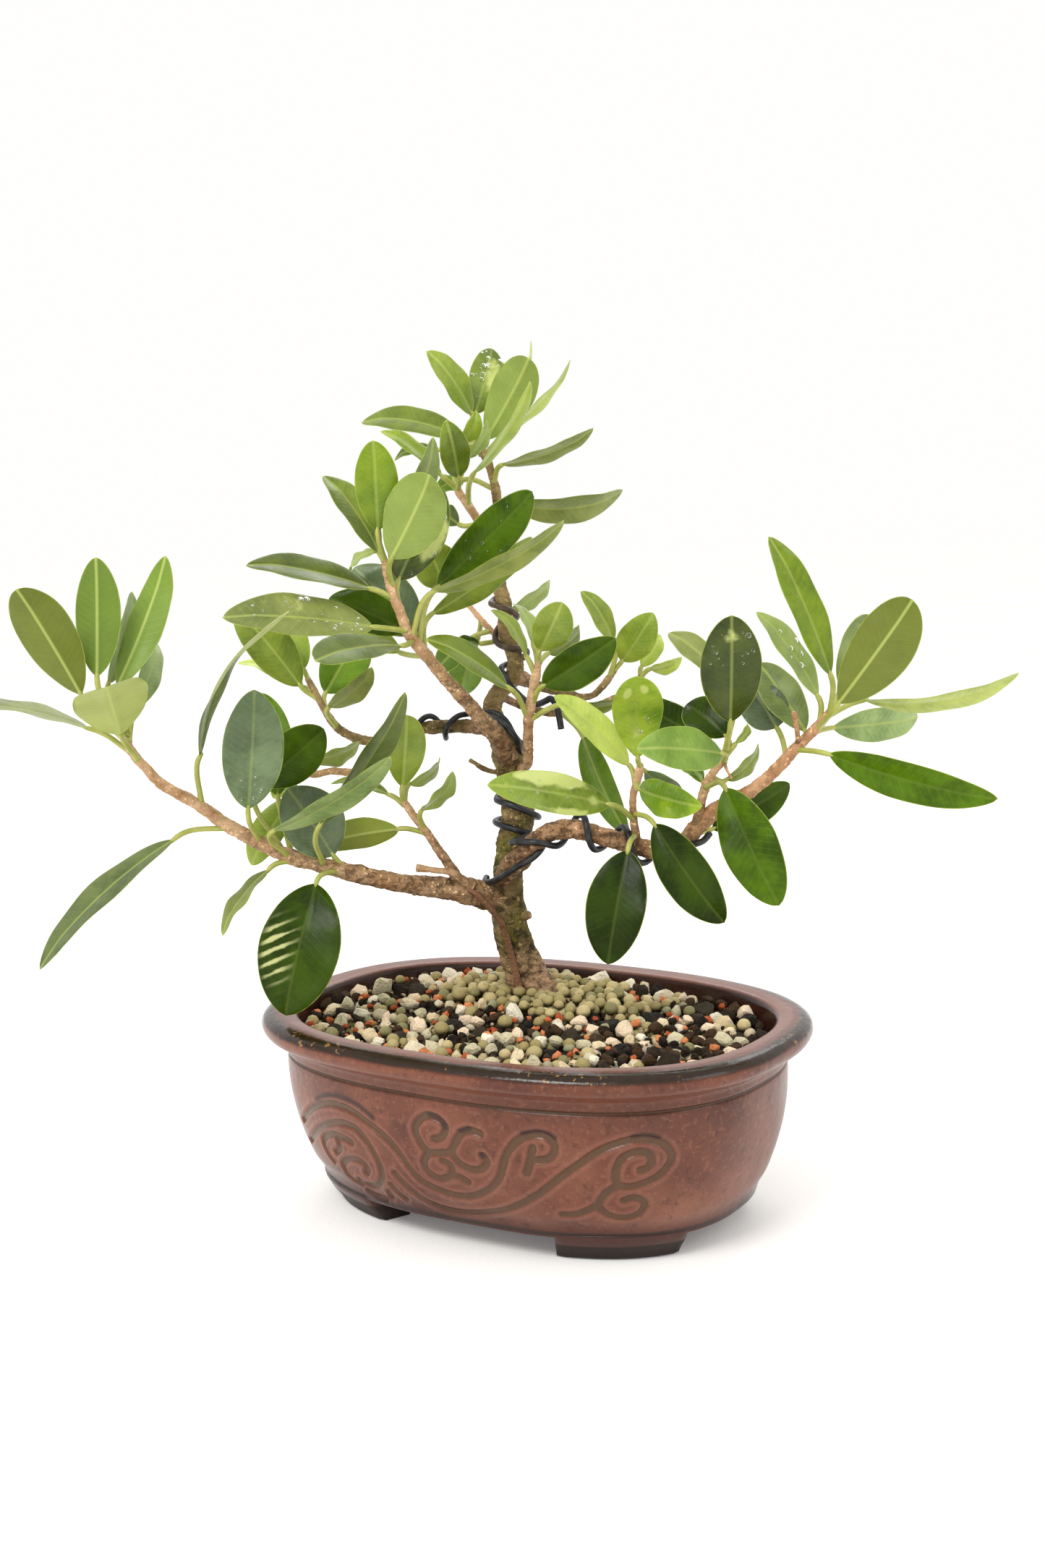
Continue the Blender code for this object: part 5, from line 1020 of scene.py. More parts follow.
# the limbs start deep in the trunk, so that their bark runs into its bark
WOOD["branch_left"] = [(704, 1241, 2, 22), (678, 1239, -3.5, 35)] + WOOD["branch_left"][2:]
WOOD["branch_front"] = [(705, 1060, 3, 20), (699, 1040, -2, 27), (688, 1020, -7.5, 26)] + WOOD["branch_front"][2:]
WOOD["branch_right"] = [(697, 1226, 0, 16), (698, 1210, -6, 25), (709, 1195, -10.5, 29)] + WOOD["branch_right"][2:]
WOOD["twig_upright"] = [(712, 1078, 2, 12), (724, 1062, -3.5, 15)] + WOOD["twig_upright"][1:]
WITH = {"trunk": ["dry_twig", "strand", "knob", "stub_trunk"], "branch_left": ["stub_left"],
        "branch_right": ["bare_petiole"], "twig_right_two": ["bud_sheath"]}
SLOT = {}
for wood_name in list(WOOD):
    if wood_name in GROWN_TOGETHER or wood_name in ("strand", "knob", "stub_trunk"):
        continue
    big = wood_name == "trunk"
    strands = [(wood_name, 0.55 if big else 0.5, 40 if big else 20)]
    strands += [(extra, 0.5, 12) for extra in WITH.get(wood_name, [])]
    bark_piece(strands, "wood_" + wood_name, [TINT.get(wood_name, old_bark)],
               [wood_name])

# ================================================================ training wire
black = Look("wire_black")
metal = black.mix(black.span(black.noise(300.0, 3.0), 0.35, 0.7), srgb(30, 32, 36), srgb(58, 58, 60))
aged = black.mix(black.span(black.noise(300.0, 3.0), 0.35, 0.7), srgb(60, 48, 38), srgb(104, 88, 68))
black.shader(Base_Color=black.mix(black.attr("worn"), metal, aged),
             Metallic=0.45, Roughness=black.span(black.noise(240.0), 0.3, 0.7, 0.34, 0.5))
black.bump(black.noise(900.0), 0.14, 0.0002)
# turns of the wire round the foot of the right limb
MORE_WIRE = {"wire_lower": [[(673, 1213, -2.0), (671, 1219, -5.0), (680, 1219, -9), (696, 1211, -13.3), (716, 1198, -16.6),
                             (734, 1188, -18.2), (747, 1176, -18.0), (752, 1165, -14.5), (748, 1156, -10)]],
             "wire_back_left": [[(662, 985, 0), (668, 989, -2.5), (680, 993, -4.2), (692, 998, -5.6), (703, 1008, -7.2),
                                 (713, 1020, -6.6), (719, 1031, -3.4), (721, 1040, 1.5)]]}
for wire_name in WIRES:
    raw = wire_points(wire_name)
    fine_pts = []
    rows = [tuple(p) for p in raw]
    for i in range(len(rows) - 1):
        for k in range(4):
            fine_pts.append(Vector(smooth(rows, i + k / 4)))
    fine_pts.append(Vector(rows[-1]))
    thin = 0.86 if wire_name == "wire_back_left" else 0.95
    v, q, t = tube(fine_pts, [WIRE * thin] * len(fine_pts), 14)
    run = [k / (len(fine_pts) - 1) for k in range(len(fine_pts)) for _ in range(14)]
    run += [0.5] * (len(v) - len(run))
    worn = {"wire_upper": [1.0 if f < 0.5 else 0.0 for f in run]}.get(wire_name, [0.0] * len(v))
    quads, caps = [q], [t]
    for extra in MORE_WIRE.get(wire_name, ()):
        rows = [tuple(at(*p)) for p in extra]
        path = [Vector(smooth(rows, i + k / 5)) for i in range(len(rows) - 1) for k in range(5)] + [Vector(rows[-1])]
        ev, eq, et = tube(path, [WIRE * thin] * len(path), 14)
        quads.append(eq + len(v))
        caps.append(et + len(v))
        v = list(v) + list(ev)
        worn += [0.0] * len(ev)
    make("look_" + wire_name, [tuple(p) for p in v], [np.concatenate(quads), np.concatenate(caps)], [black.mat],
         {"worn": worn}, nodes=[wire_name])

# ================================================================ pot
def outline_many(inset, z, count):
    """Evenly spaced points round the pot's outline."""
    a, b = POT_LENGTH / 2 - inset, POT_WIDTH / 2 - inset
    t = np.linspace(0, 2 * np.pi, 2881)[:-1]
    c, s = np.cos(t), np.sin(t)
    x = a * np.sign(c) * np.abs(c) ** (2 / POT_POWER)
    y = b * np.sign(s) * np.abs(s) ** (2 / POT_POWER)
    step = np.hypot(np.diff(x, append=x[:1]), np.diff(y, append=y[:1]))
    run = np.concatenate([[0], np.cumsum(step)])
    want = np.linspace(0, run[-1], count + 1)[:-1]
    xx = np.interp(want, run, np.append(x, x[0]))
    yy = np.interp(want, run, np.append(y, y[0]))
    return np.stack([xx, yy, np.full(count, z)], axis=-1), want


def profile(rows, step):
    """Smooth the pot's profile rows (inset, height) into fine ones."""
    out = []
    for i in range(len(rows) - 1):
        d = math.hypot(rows[i + 1][0] - rows[i][0], rows[i + 1][1] - rows[i][1])
        count = max(1, round(d / step))
        for k in range(count):
            out.append(smooth(rows, i + k / count))
    out.append(rows[-1])
    return out


# carved scroll of the long faces: strokes on the survey grid, front face
SCROLL = [
    [(420, 1548), (429, 1534), (446, 1526), (466, 1528), (486, 1537), (504, 1550), (520, 1562), (536, 1576), (552, 1594),
     (564, 1612), (578, 1628), (592, 1638), (612, 1647), (632, 1653), (652, 1654), (668, 1649), (681, 1641),
     (690, 1629), (695, 1613), (698, 1600), (705, 1588), (714, 1578), (728, 1571), (746, 1569), (760, 1575),
     (767, 1586), (764, 1598), (752, 1604), (738, 1604)],
    [(736, 1588), (734, 1598), (732, 1610), (728, 1622)],
    [(546, 1622), (556, 1633), (568, 1644), (582, 1655), (598, 1665), (614, 1672), (636, 1677), (660, 1678),
     (680, 1676), (700, 1672), (720, 1665), (740, 1654), (760, 1640), (780, 1624), (800, 1610), (820, 1596),
     (840, 1586), (860, 1579), (880, 1575), (900, 1576), (916, 1581), (926, 1590), (929, 1602), (922, 1614),
     (910, 1626), (890, 1636), (870, 1641), (855, 1638), (851, 1626), (853, 1614), (860, 1602), (872, 1595),
     (886, 1592), (898, 1596), (901, 1606), (895, 1615), (886, 1618)],
    [(850, 1642), (840, 1648), (831, 1658), (828, 1668), (836, 1677), (850, 1683), (866, 1684), (882, 1679),
     (892, 1668), (888, 1659), (876, 1656), (863, 1660)],
    [(826, 1667), (812, 1674), (796, 1679), (778, 1679)],
    [(600, 1575), (612, 1571), (616, 1560), (612, 1552), (602, 1545), (591, 1542), (580, 1548), (574, 1558),
     (576, 1570), (584, 1584), (594, 1593), (610, 1594), (624, 1592), (630, 1578), (638, 1566), (650, 1563),
     (664, 1568)],
    [(624, 1592), (631, 1604), (642, 1613), (656, 1618), (668, 1615), (673, 1607), (667, 1598)],
    [(594, 1594), (587, 1602), (588, 1614), (597, 1624), (610, 1630), (621, 1627), (626, 1619), (621, 1610),
     (612, 1605)],
    [(624, 1624), (636, 1628), (647, 1634)],
    [(430, 1576), (438, 1563), (450, 1555), (466, 1552), (480, 1555), (494, 1563), (508, 1580), (520, 1600),
     (528, 1618), (528, 1631), (521, 1640), (510, 1638), (498, 1631)],
    [(486, 1580), (474, 1573), (461, 1568), (450, 1571), (448, 1580), (454, 1594), (462, 1605)],
    [(468, 1577), (471, 1586), (465, 1593)],
    [(500, 1638), (488, 1630), (479, 1619), (475, 1609), (480, 1603), (490, 1602), (501, 1607), (509, 1615),
     (507, 1622)],
    [(538, 1647), (541, 1656)],
    [(541, 1638), (551, 1648), (561, 1658)],
    [(508, 1647), (521, 1654), (534, 1659)],
]
# painted shadow: dark strokes along the upper edges of the carved scroll, where its grooves lie in shade
GROOVE_SHADOWS = [
    [(437, 1519), (451, 1514), (470, 1516), (490, 1525), (506, 1537), (515, 1546)],
    [(592, 1541), (602, 1544), (611, 1551), (615, 1559)],
    [(722, 1567), (740, 1564), (756, 1566), (767, 1573)],
    [(875, 1571), (892, 1568), (911, 1572)],
    [(665, 1597), (667, 1599)],
    [(462, 1612), (474, 1620), (485, 1635)],
    [(636, 1564), (648, 1560)],
]


def outer_inset(z):
    """Inset of the pot's outer wall at height z, below the collar."""
    return 6.84 + 13.0 * max(0.0, (44.0 - z) / 44.0) ** 2.185


def on_wall(u, v):
    """Where the station's line of sight through (u, v) meets the pot's outer wall."""
    ray = (AHEAD * GRID_RANGE + ACROSS * (u - GRID_CENTRE[0]) - UPWARD * (v - GRID_CENTRE[1])).normalized()
    t = 340.0
    while t < 640.0:
        p = EYE + ray * t
        inset = outer_inset(min(max(p.z, 0.0), 44.0))
        a, b = POT_LENGTH / 2 - inset, POT_WIDTH / 2 - inset
        if abs(p.x / a) ** POT_POWER + abs(p.y / b) ** POT_POWER < 1.0:
            return p
        t += 0.1
    return None


def stroke_on_wall(stroke):
    """A stroke's smooth path on the pot's wall."""
    rows = []
    for i in range(len(stroke) - 1):
        d = math.hypot(stroke[i + 1][0] - stroke[i][0], stroke[i + 1][1] - stroke[i][1])
        for k in range(max(1, round(d / 5))):
            rows.append(smooth(stroke, i + k / max(1, round(d / 5))))
    rows.append(stroke[-1])
    placed = [on_wall(u, v) for u, v in rows]
    return np.array([(p.x, p.y, p.z) for p in placed if p is not None])


strokes = [line for line in map(stroke_on_wall, SCROLL) if len(line) > 1]
groove_shadow_lines = [line for line in map(stroke_on_wall, GROOVE_SHADOWS) if len(line) > 1]

AROUND = 1200
body_rows = profile([(15.75, 7.0), (14.5, 10.5)] + [(outer_inset(z), z) for z in range(14, 43, 4)] + [(6.95, 43.3)], 0.42)
rim_rows = profile(OUTSIDE[6:] , 0.5)
inner_rows = profile([OUTSIDE[-1]] + INSIDE[:4], 0.9)
rows = body_rows + rim_rows[1:] + inner_rows[1:]
body_count, rim_count = len(body_rows), len(body_rows) + len(rim_rows) - 1
P = []
for inset, z in rows:
    ring, want = outline_many(inset, z, AROUND)
    P.append(ring)
P = np.array(P)
def nearest(lines, reach):
    """Distance in mm of every wall point to the nearest of the lines, on both long faces."""
    flat = P[:body_count].reshape(-1, 3)
    best = np.full(len(flat), 9.0)
    for turn_sign in (1, -1):
        for line in lines:
            pts = line * np.array([turn_sign, turn_sign, 1.0])
            lo, hi = pts.min(0) - reach, pts.max(0) + reach
            pick = np.where(((flat > lo) & (flat < hi)).all(1))[0]
            q = flat[pick]
            own = best[pick]
            for a, b in zip(pts[:-1], pts[1:]):
                ab = b - a
                f = np.clip(((q - a) @ ab) / max(ab @ ab, 1e-9), 0, 1)
                own = np.minimum(own, np.linalg.norm(q - a - f[:, None] * ab, axis=1))
            best[pick] = own
    out = np.full(P.shape[:2], 9.0)
    out[:body_count] = best.reshape(body_count, AROUND)
    return out


to_line, to_groove_shadow = nearest(strokes, 3.5), nearest(groove_shadow_lines, 3.5)
half_line = 0.98
scroll = np.clip((half_line + 0.30 - to_line) / 0.60, 0.0, 1.0)
scroll = scroll * scroll * (3 - 2 * scroll)
verge = np.exp(-((to_line - half_line - 0.75) / 0.62) ** 2)
groove_shadow = np.clip((1.15 - to_groove_shadow) / 0.9, 0.0, 1.0)
centre_dir = P.copy()
centre_dir[..., 2] = 0
nx = np.sign(P[..., 0]) * np.abs(P[..., 0] / 75.0) ** (POT_POWER - 1) / 75.0
ny = np.sign(P[..., 1]) * np.abs(P[..., 1] / 53.0) ** (POT_POWER - 1) / 53.0
length = np.hypot(nx, ny) + 1e-9
nx, ny = nx / length, ny / length
raise_mm = -0.55 * scroll + 0.16 * verge * (1 - scroll)
uneven = np.array([noise.noise(Vector(p) * 0.045) for p in P.reshape(-1, 3)[::1]]).reshape(P.shape[:2]) * 0.35
P[..., 0] += nx * (raise_mm + uneven)
P[..., 1] += ny * (raise_mm + uneven)
zz = np.repeat(np.array([r[1] for r in rows])[:, None], AROUND, axis=1)
ii = np.repeat(np.array([r[0] for r in rows])[:, None], AROUND, axis=1)
part_no = np.zeros(P.shape[:2])
part_no[body_count:rim_count] = 1.0
part_no[rim_count:] = 2.0
verts = P.reshape(-1, 3)
faces = grid_faces(len(rows), AROUND)[:, ::-1]
# underside and inner floor closing the shell, and the feet
lower = [outline_many(i, z, AROUND)[0] for i, z in ((16.2, 7.0), (22.0, 6.9), (40.0, 6.9))]
inner_low = [outline_many(i, z, AROUND)[0] for i, z in ((INSIDE[4]), (INSIDE[5]), (INSIDE[6]), (42.0, 12.0))]
count = len(verts)
extra = np.concatenate([np.array(lower[::-1]).reshape(-1, 3), np.zeros((0, 3))])
verts_all = np.concatenate([np.array(lower[::-1]).reshape(-1, 3), verts, np.array(inner_low).reshape(-1, 3)])
total_rows = 3 + len(rows) + len(inner_low)
faces = grid_faces(total_rows, AROUND)
bottom_ring, top_ring = 0, total_rows - 1
k = np.arange(AROUND)
join = np.stack([top_ring * AROUND + k, top_ring * AROUND + (k + 1) % AROUND,
                 bottom_ring * AROUND + (k + 1) % AROUND, bottom_ring * AROUND + k], axis=-1)
faces = np.concatenate([faces, join])


def full(values, before, after):
    return np.concatenate([np.full(3 * AROUND, before), values.reshape(-1), np.full(len(inner_low) * AROUND, after)])


glaze = Look("glaze_rose")
mark, level, inset_a, zone = glaze.attr("scroll"), glaze.attr("level_mm"), glaze.attr("inset_mm"), glaze.attr("zone")
verge_at, groove_shadow_at = glaze.attr("verge"), glaze.attr("groove_shadow")
cloudy = glaze.noise(32.0, 4.0, 0.6)
speck = glaze.noise(420.0, 4.0, 0.65)
run_down = glaze.noise(60.0, 3.0, 0.5, stretch=(1.0, 1.0, 0.25))
colour = glaze.mix(glaze.span(cloudy, 0.30, 0.70), srgb(80, 37, 22), srgb(122, 68, 46))
colour = glaze.mix(glaze.span(glaze.noise(15.0, 3.0, 0.55), 0.44, 0.66, 0.0, 0.55), colour, srgb(60, 29, 20))
colour = glaze.mix(glaze.span(glaze.noise(21.0, 3.0, 0.5), 0.56, 0.72, 0.0, 0.5), colour, srgb(152, 99, 76))
colour = glaze.mix(glaze.span(run_down, 0.42, 0.68, 0.0, 0.5), colour, srgb(112, 61, 41))
colour = glaze.mix(glaze.span(speck, 0.52, 0.68, 0.0, 0.50), colour, srgb(60, 28, 21))
colour = glaze.mix(glaze.span(glaze.noise(760.0, 2.0), 0.54, 0.70, 0.0, 0.28), colour, srgb(146, 100, 76))
colour = glaze.mix(glaze.math("MULTIPLY", verge_at, 0.42), colour, srgb(136, 86, 68))
colour = glaze.mix(glaze.span(mark, 0.15, 0.85, 0.0, 0.92), colour, glaze.mix(speck, srgb(70, 48, 28), srgb(96, 66, 42)))
# painted shadow along the upper edges of the scroll's grooves
colour = glaze.mix(glaze.math("MULTIPLY", groove_shadow_at, 0.9), colour, srgb(44, 18, 13))
# painted shade: darker towards the bottom of the body, where it curves under
low_shade = glaze.span(level, 6.5, 14.0, 0.85, 0.0)
colour = glaze.mix(low_shade, colour, srgb(56, 26, 20))
foot_line = glaze.math("MULTIPLY", glaze.span(level, 7.2, 7.9), glaze.span(level, 8.3, 9.2, 1.0, 0.0))
colour = glaze.mix(glaze.math("MULTIPLY", foot_line, 0.8), colour, srgb(34, 20, 15))
groove = glaze.math("MULTIPLY", glaze.span(level, 43.0, 43.9), glaze.span(level, 44.1, 45.2, 1.0, 0.0))
colour = glaze.mix(glaze.math("MULTIPLY", groove, 0.75), colour, srgb(60, 42, 22))
under_lip = glaze.math("MULTIPLY", glaze.span(level, 45.0, 48.0), glaze.span(level, 50.6, 51.6, 1.0, 0.0))
colour = glaze.mix(glaze.math("MULTIPLY", under_lip, 0.3), colour, srgb(116, 70, 54))
wobble = glaze.math("MULTIPLY_ADD", glaze.noise(70.0, 3.0), 1.6, -0.8)
lip = glaze.math("ADD", level, wobble)
band = glaze.math("MULTIPLY", glaze.span(lip, 53.0, 54.2), glaze.span(glaze.math("ADD", inset_a, wobble), 2.6, 4.4, 1.0, 0.0))
colour = glaze.mix(band, colour, glaze.mix(speck, srgb(17, 8, 3), srgb(50, 29, 10)))
# painted glints: tiny gold sparkles on the dark rim band
rim_glint = glaze.math("MULTIPLY", band, glaze.span(glaze.noise(620.0, 2.0, 0.5), 0.60, 0.70, 0.0, 0.55))
colour = glaze.mix(glaze.math("MULTIPLY", rim_glint, glaze.span(glaze.noise(40.0, 2.0), 0.46, 0.58)), colour, srgb(186, 142, 78))
rosy = glaze.math("MULTIPLY", glaze.span(level, 54.8, 55.5), glaze.span(glaze.math("ADD", inset_a, wobble), 4.6, 6.0))
colour = glaze.mix(glaze.math("MULTIPLY", rosy, 0.7), colour, srgb(130, 84, 66))
inner_dark = glaze.math("MULTIPLY", glaze.span(inset_a, 8.9, 9.8), glaze.span(level, 30.0, 50.0, 1.0, 1.0))
inner_dark = glaze.math("MULTIPLY", inner_dark, glaze.span(zone, 0.5, 0.9))
colour = glaze.mix(glaze.math("MULTIPLY", inner_dark, 0.92), colour, glaze.mix(cloudy, srgb(24, 10, 7), srgb(56, 27, 16)))
bare = glaze.span(glaze.math("ADD", level, glaze.math("MULTIPLY", wobble, 0.6)), 4.2, 5.2, 1.0, 0.0)
colour = glaze.mix(bare, colour, glaze.mix(speck, srgb(24, 15, 11), srgb(44, 29, 22)))
glaze.shader(Base_Color=colour,
             Roughness=glaze.math("ADD", glaze.span(cloudy, 0.3, 0.7, 0.24, 0.38),
                                  glaze.math("ADD", glaze.math("MULTIPLY", bare, 0.45),
                                             glaze.math("MULTIPLY", band, -0.12)), clamp=True))
glaze.bsdf.inputs["Specular IOR Level"].default_value = 0.30
glaze.bsdf.inputs["Coat Weight"].default_value = 0.12
glaze.bsdf.inputs["Coat Roughness"].default_value = 0.10
glaze.bump(glaze.math("ADD", glaze.math("MULTIPLY", glaze.noise(240.0, 3.0), 0.8), glaze.math("MULTIPLY", speck, 0.5)), 0.34, 0.0007)

foot_verts, foot_faces, foot_level, foot_inset = [], [], [], []
FOOT_FINE = [(19.4, 0.35), (19.15, 0.9), (18.4, 2.2), (17.2, 3.7), (16.9, 4.1), (16.4, 4.9), (15.4, 6.8), (15.2, 7.6),
             (15.9, 8.4), (17.6, 9.4), (26.5, 9.4), (27.3, 0.6), (27.0, 0.05), (20.0, 0.0)]
for quarter in range(4):
    lo, hi = FOOT_ARC
    arc = (lo, hi) if quarter in (0, 2) else (90 - hi, 90 - lo)
    n = 64
    sections = []
    for kk in range(n + 1):
        ang = math.radians(quarter * 90 + arc[0] + (arc[1] - arc[0]) * kk / n)
        c, s_ = math.cos(ang), math.sin(ang)
        soft_end = max(0.0, 1 - min(kk, n - kk) / 3.0) * 0.5
        sec = []
        for inset, z in FOOT_FINE:
            a, b = POT_LENGTH / 2 - inset - soft_end * (z < 8), POT_WIDTH / 2 - inset - soft_end * (z < 8)
            sec.append((a * math.copysign(abs(c) ** (2 / POT_POWER), c), b * math.copysign(abs(s_) ** (2 / POT_POWER), s_), z))
        sections.append(sec)
    base = len(foot_verts)
    m = len(FOOT_FINE)
    for sec in sections:
        foot_verts += sec
        foot_level += [p[2] for p in sec]
        foot_inset += [20.0] * m
    foot_faces.append(grid_faces(n + 1, m)[:, ::-1] + base)
    for row, flip in ((0, False), (n, True)):
        ids = [base + row * m + j for j in range(m)]
        mid = len(foot_verts)
        foot_verts.append(tuple(np.mean([foot_verts[i] for i in ids], axis=0)))
        foot_level.append(4.0)
        foot_inset.append(20.0)
        tri = [[ids[j], ids[(j + 1) % m], mid] for j in range(m)]
        foot_faces.append(np.array([t[::-1] if flip else t for t in tri]))
shell = len(verts_all)
all_verts = np.concatenate([verts_all, np.array(foot_verts)])
quads = np.concatenate([faces] + [f + shell for f in foot_faces if f.shape[1] == 4])
tris = np.concatenate([f + shell for f in foot_faces if f.shape[1] == 3])
nf = len(foot_verts)
pot_attrs = {"scroll": np.concatenate([full(scroll, 0, 0), np.zeros(nf)]),
             "verge": np.concatenate([full(verge, 0, 0), np.zeros(nf)]),
             "groove_shadow": np.concatenate([full(groove_shadow, 0, 0), np.zeros(nf)]),
             "level_mm": np.concatenate([full(zz, 7.0, 20.0), np.array(foot_level)]),
             "inset_mm": np.concatenate([full(ii, 20.0, 20.0), np.array(foot_inset)]),
             "zone": np.concatenate([full(part_no, 0.0, 2.0), np.zeros(nf)])}
make("look_pot", all_verts, [quads, tris], [glaze.mat], pot_attrs, nodes=["pot"])

# ================================================================ soil and drainage screens (CAD solids kept)
earth = Look("earth")
crumb = earth.noise(520.0, 5.0, 0.7)
earth.shader(Base_Color=earth.mix(earth.span(crumb, 0.4, 0.65), srgb(22, 16, 12), srgb(58, 44, 32)),
             Roughness=earth.span(crumb, 0.3, 0.7, 0.85, 0.98))
earth.bump(earth.math("ADD", crumb, earth.cells(400.0)), 0.9, 0.0012)
mesh_black = Look("screen_black")
hole = mesh_black.span(mesh_black.cells(700.0, randomness=0.0), 0.25, 0.4)
mesh_black.shader(Base_Color=mesh_black.mix(hole, srgb(14, 14, 15), srgb(34, 34, 36)), Roughness=mesh_black.span(hole, 0, 1, 0.6, 0.4))
for node in ("soil", "drain_screen_1", "drain_screen_2"):
    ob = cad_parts[node]
    ob.data.materials.clear()
    ob.data.materials.append(earth.mat if node == "soil" else mesh_black.mat)

# ================================================================ top dressing
def dressing_height(x, y):
    away = ((x - FOOT.x) / 1.5) ** 2 + (y - FOOT.y) ** 2
    ripple = 0.35 * math.sin(x * 0.31) * math.cos(y * 0.37)
    return DRESSING_EDGE + MOUND_RISE * math.exp(-away / (2 * MOUND_SPREAD ** 2)) + ripple


EDGE_INSET = 11.3
bed_rows, bed = 60, []
for i in range(bed_rows):
    f = 1 - (i / (bed_rows - 1)) ** 1.0 * 0.99
    ring, _ = outline_many(EDGE_INSET, 0, 240)
    for x, y, z in ring:
        px, py = x * f, y * f
        drop = 2.6 * max(0.0, (f - 0.94) / 0.06) ** 2
        bed.append((px, py, dressing_height(px, py) - 3.0 - drop * 0.3 + 0.9 * noise.noise(Vector((px, py, 0)) * 0.35)
                    + 0.6 * noise.noise(Vector((px, py, 3)) * 1.1)))
low_ring = [(x, y, SOIL_TOP + 0.2) for x, y, z in bed[:240]]
bed_all = low_ring + bed
bed_faces = grid_faces(bed_rows + 1, 240)
mid_top, mid_low = len(bed_all), len(bed_all) + 1
bed_all += [(0, 0, dressing_height(0, 0) - 1.0), (0, 0, SOIL_TOP + 0.2)]
k = np.arange(240)
cap_top = np.stack([bed_rows * 240 + k, bed_rows * 240 + (k + 1) % 240, np.full(240, mid_top)], axis=-1)
cap_low = np.stack([(k + 1) % 240, k, np.full(240, mid_low)], axis=-1)
make("dressing_bed", bed_all, [bed_faces, np.concatenate([cap_top, cap_low])], [earth.mat],
     nodes=["top_dressing"])


def unit_ball(level):
    bm = bmesh.new()
    bmesh.ops.create_icosphere(bm, subdivisions=level, radius=1.0)
    v = np.array([tuple(p.co) for p in bm.verts])
    f = np.array([[q.index for q in p.verts] for p in bm.faces])
    bm.free()
    return v, f


BALLS = {1: unit_ball(1), 2: unit_ball(2), 3: unit_ball(3)}


def inside_pot(x, y, margin):
    a, b = POT_LENGTH / 2 - EDGE_INSET - margin, POT_WIDTH / 2 - EDGE_INSET - margin
    return abs(x / a) ** POT_POWER + abs(y / b) ** POT_POWER < 1.0


def rough_stone(level, rnd, angular, stretch):
    v, f = BALLS[level]
    off = Vector((rnd.uniform(0, 90), rnd.uniform(0, 90), rnd.uniform(0, 90)))
    out = v.copy()
    if angular:                                     # cut the ball by a few planes into a chipped lump
        for _ in range(9):
            d = np.array([rnd.gauss(0, 1) for _ in range(3)])
            d /= np.linalg.norm(d)
            depth = rnd.uniform(0.58, 0.86)
            over = out @ d - depth
            out = out - np.clip(over, 0, None)[:, None] * d
    swell = np.array([noise.noise(Vector(p) * 1.7 + off) * 0.22 + noise.noise(Vector(p) * 4.2 + off) * 0.09 for p in out])
    out = out * (1 + swell)[:, None] * np.array(stretch)
    return out, f


def turned(rnd):
    q = np.array([rnd.gauss(0, 1) for _ in range(4)])
    q /= np.linalg.norm(q)
    w, x, y, z = q
    return np.array([[1 - 2 * (y * y + z * z), 2 * (x * y - z * w), 2 * (x * z + y * w)],
                     [2 * (x * y + z * w), 1 - 2 * (x * x + z * z), 2 * (y * z - x * w)],
                     [2 * (x * z - y * w), 2 * (y * z + x * w), 1 - 2 * (x * x + y * y)]])


TRUNK_CLEAR = [(at(*row[:3]), row[3] / 2 * unit_at(at(*row[:3]))) for row in WOOD["trunk"][:8]]
placed = []
cell = {}


def crowd(x, y, z, r):
    """Highest a grain of radius r can sink to at x, y among those already there."""
    top = None
    gx, gy = int(x // 6), int(y // 6)
    for i in range(gx - 1, gx + 2):
        for j in range(gy - 1, gy + 2):
            for (px, py, pz, pr) in cell.get((i, j), ()):
                d2 = (px - x) ** 2 + (py - y) ** 2
                reach = (pr + r) * 0.86
                if d2 < reach * reach:
                    h = pz + math.sqrt(reach * reach - d2)
                    top = h if top is None or h > top else top
    return top


def try_place(x, y, r, rnd, lift_limit):
    if not inside_pot(x, y, r * 0.75):
        return None
    for p, tr in TRUNK_CLEAR:
        if abs(p.z - 54) < 7 and math.hypot(p.x - x, p.y - y) < tr + r * 0.55:
            return None
    ground = dressing_height(x, y) - 2.7 + r * 0.35
    top = crowd(x, y, ground, r)
    z = ground if top is None else max(ground, top)
    if z - ground > lift_limit:
        return None
    placed.append((x, y, z, r))
    cell.setdefault((int(x // 6), int(y // 6)), []).append((x, y, z, r))
    return z


def heap(x, y):
    """Below 1 where the round beads lie heaped at the foot of the trunk."""
    return math.hypot((x - FOOT.x - 6) / 33, (y - FOOT.y + 3) / 17.5) + 0.35 * noise.noise(Vector((x * 0.09, y * 0.09, 7)))


def dark_bed(x, y):
    """Above 0 where the black char and bark lie thickest: the far right, the far left and loose patches."""
    edge = max((x - 34) / 14, (-52 - x) / 6)
    return max(edge, 1.6 * noise.noise(Vector((x * 0.07, y * 0.09, 31))) - 0.12)


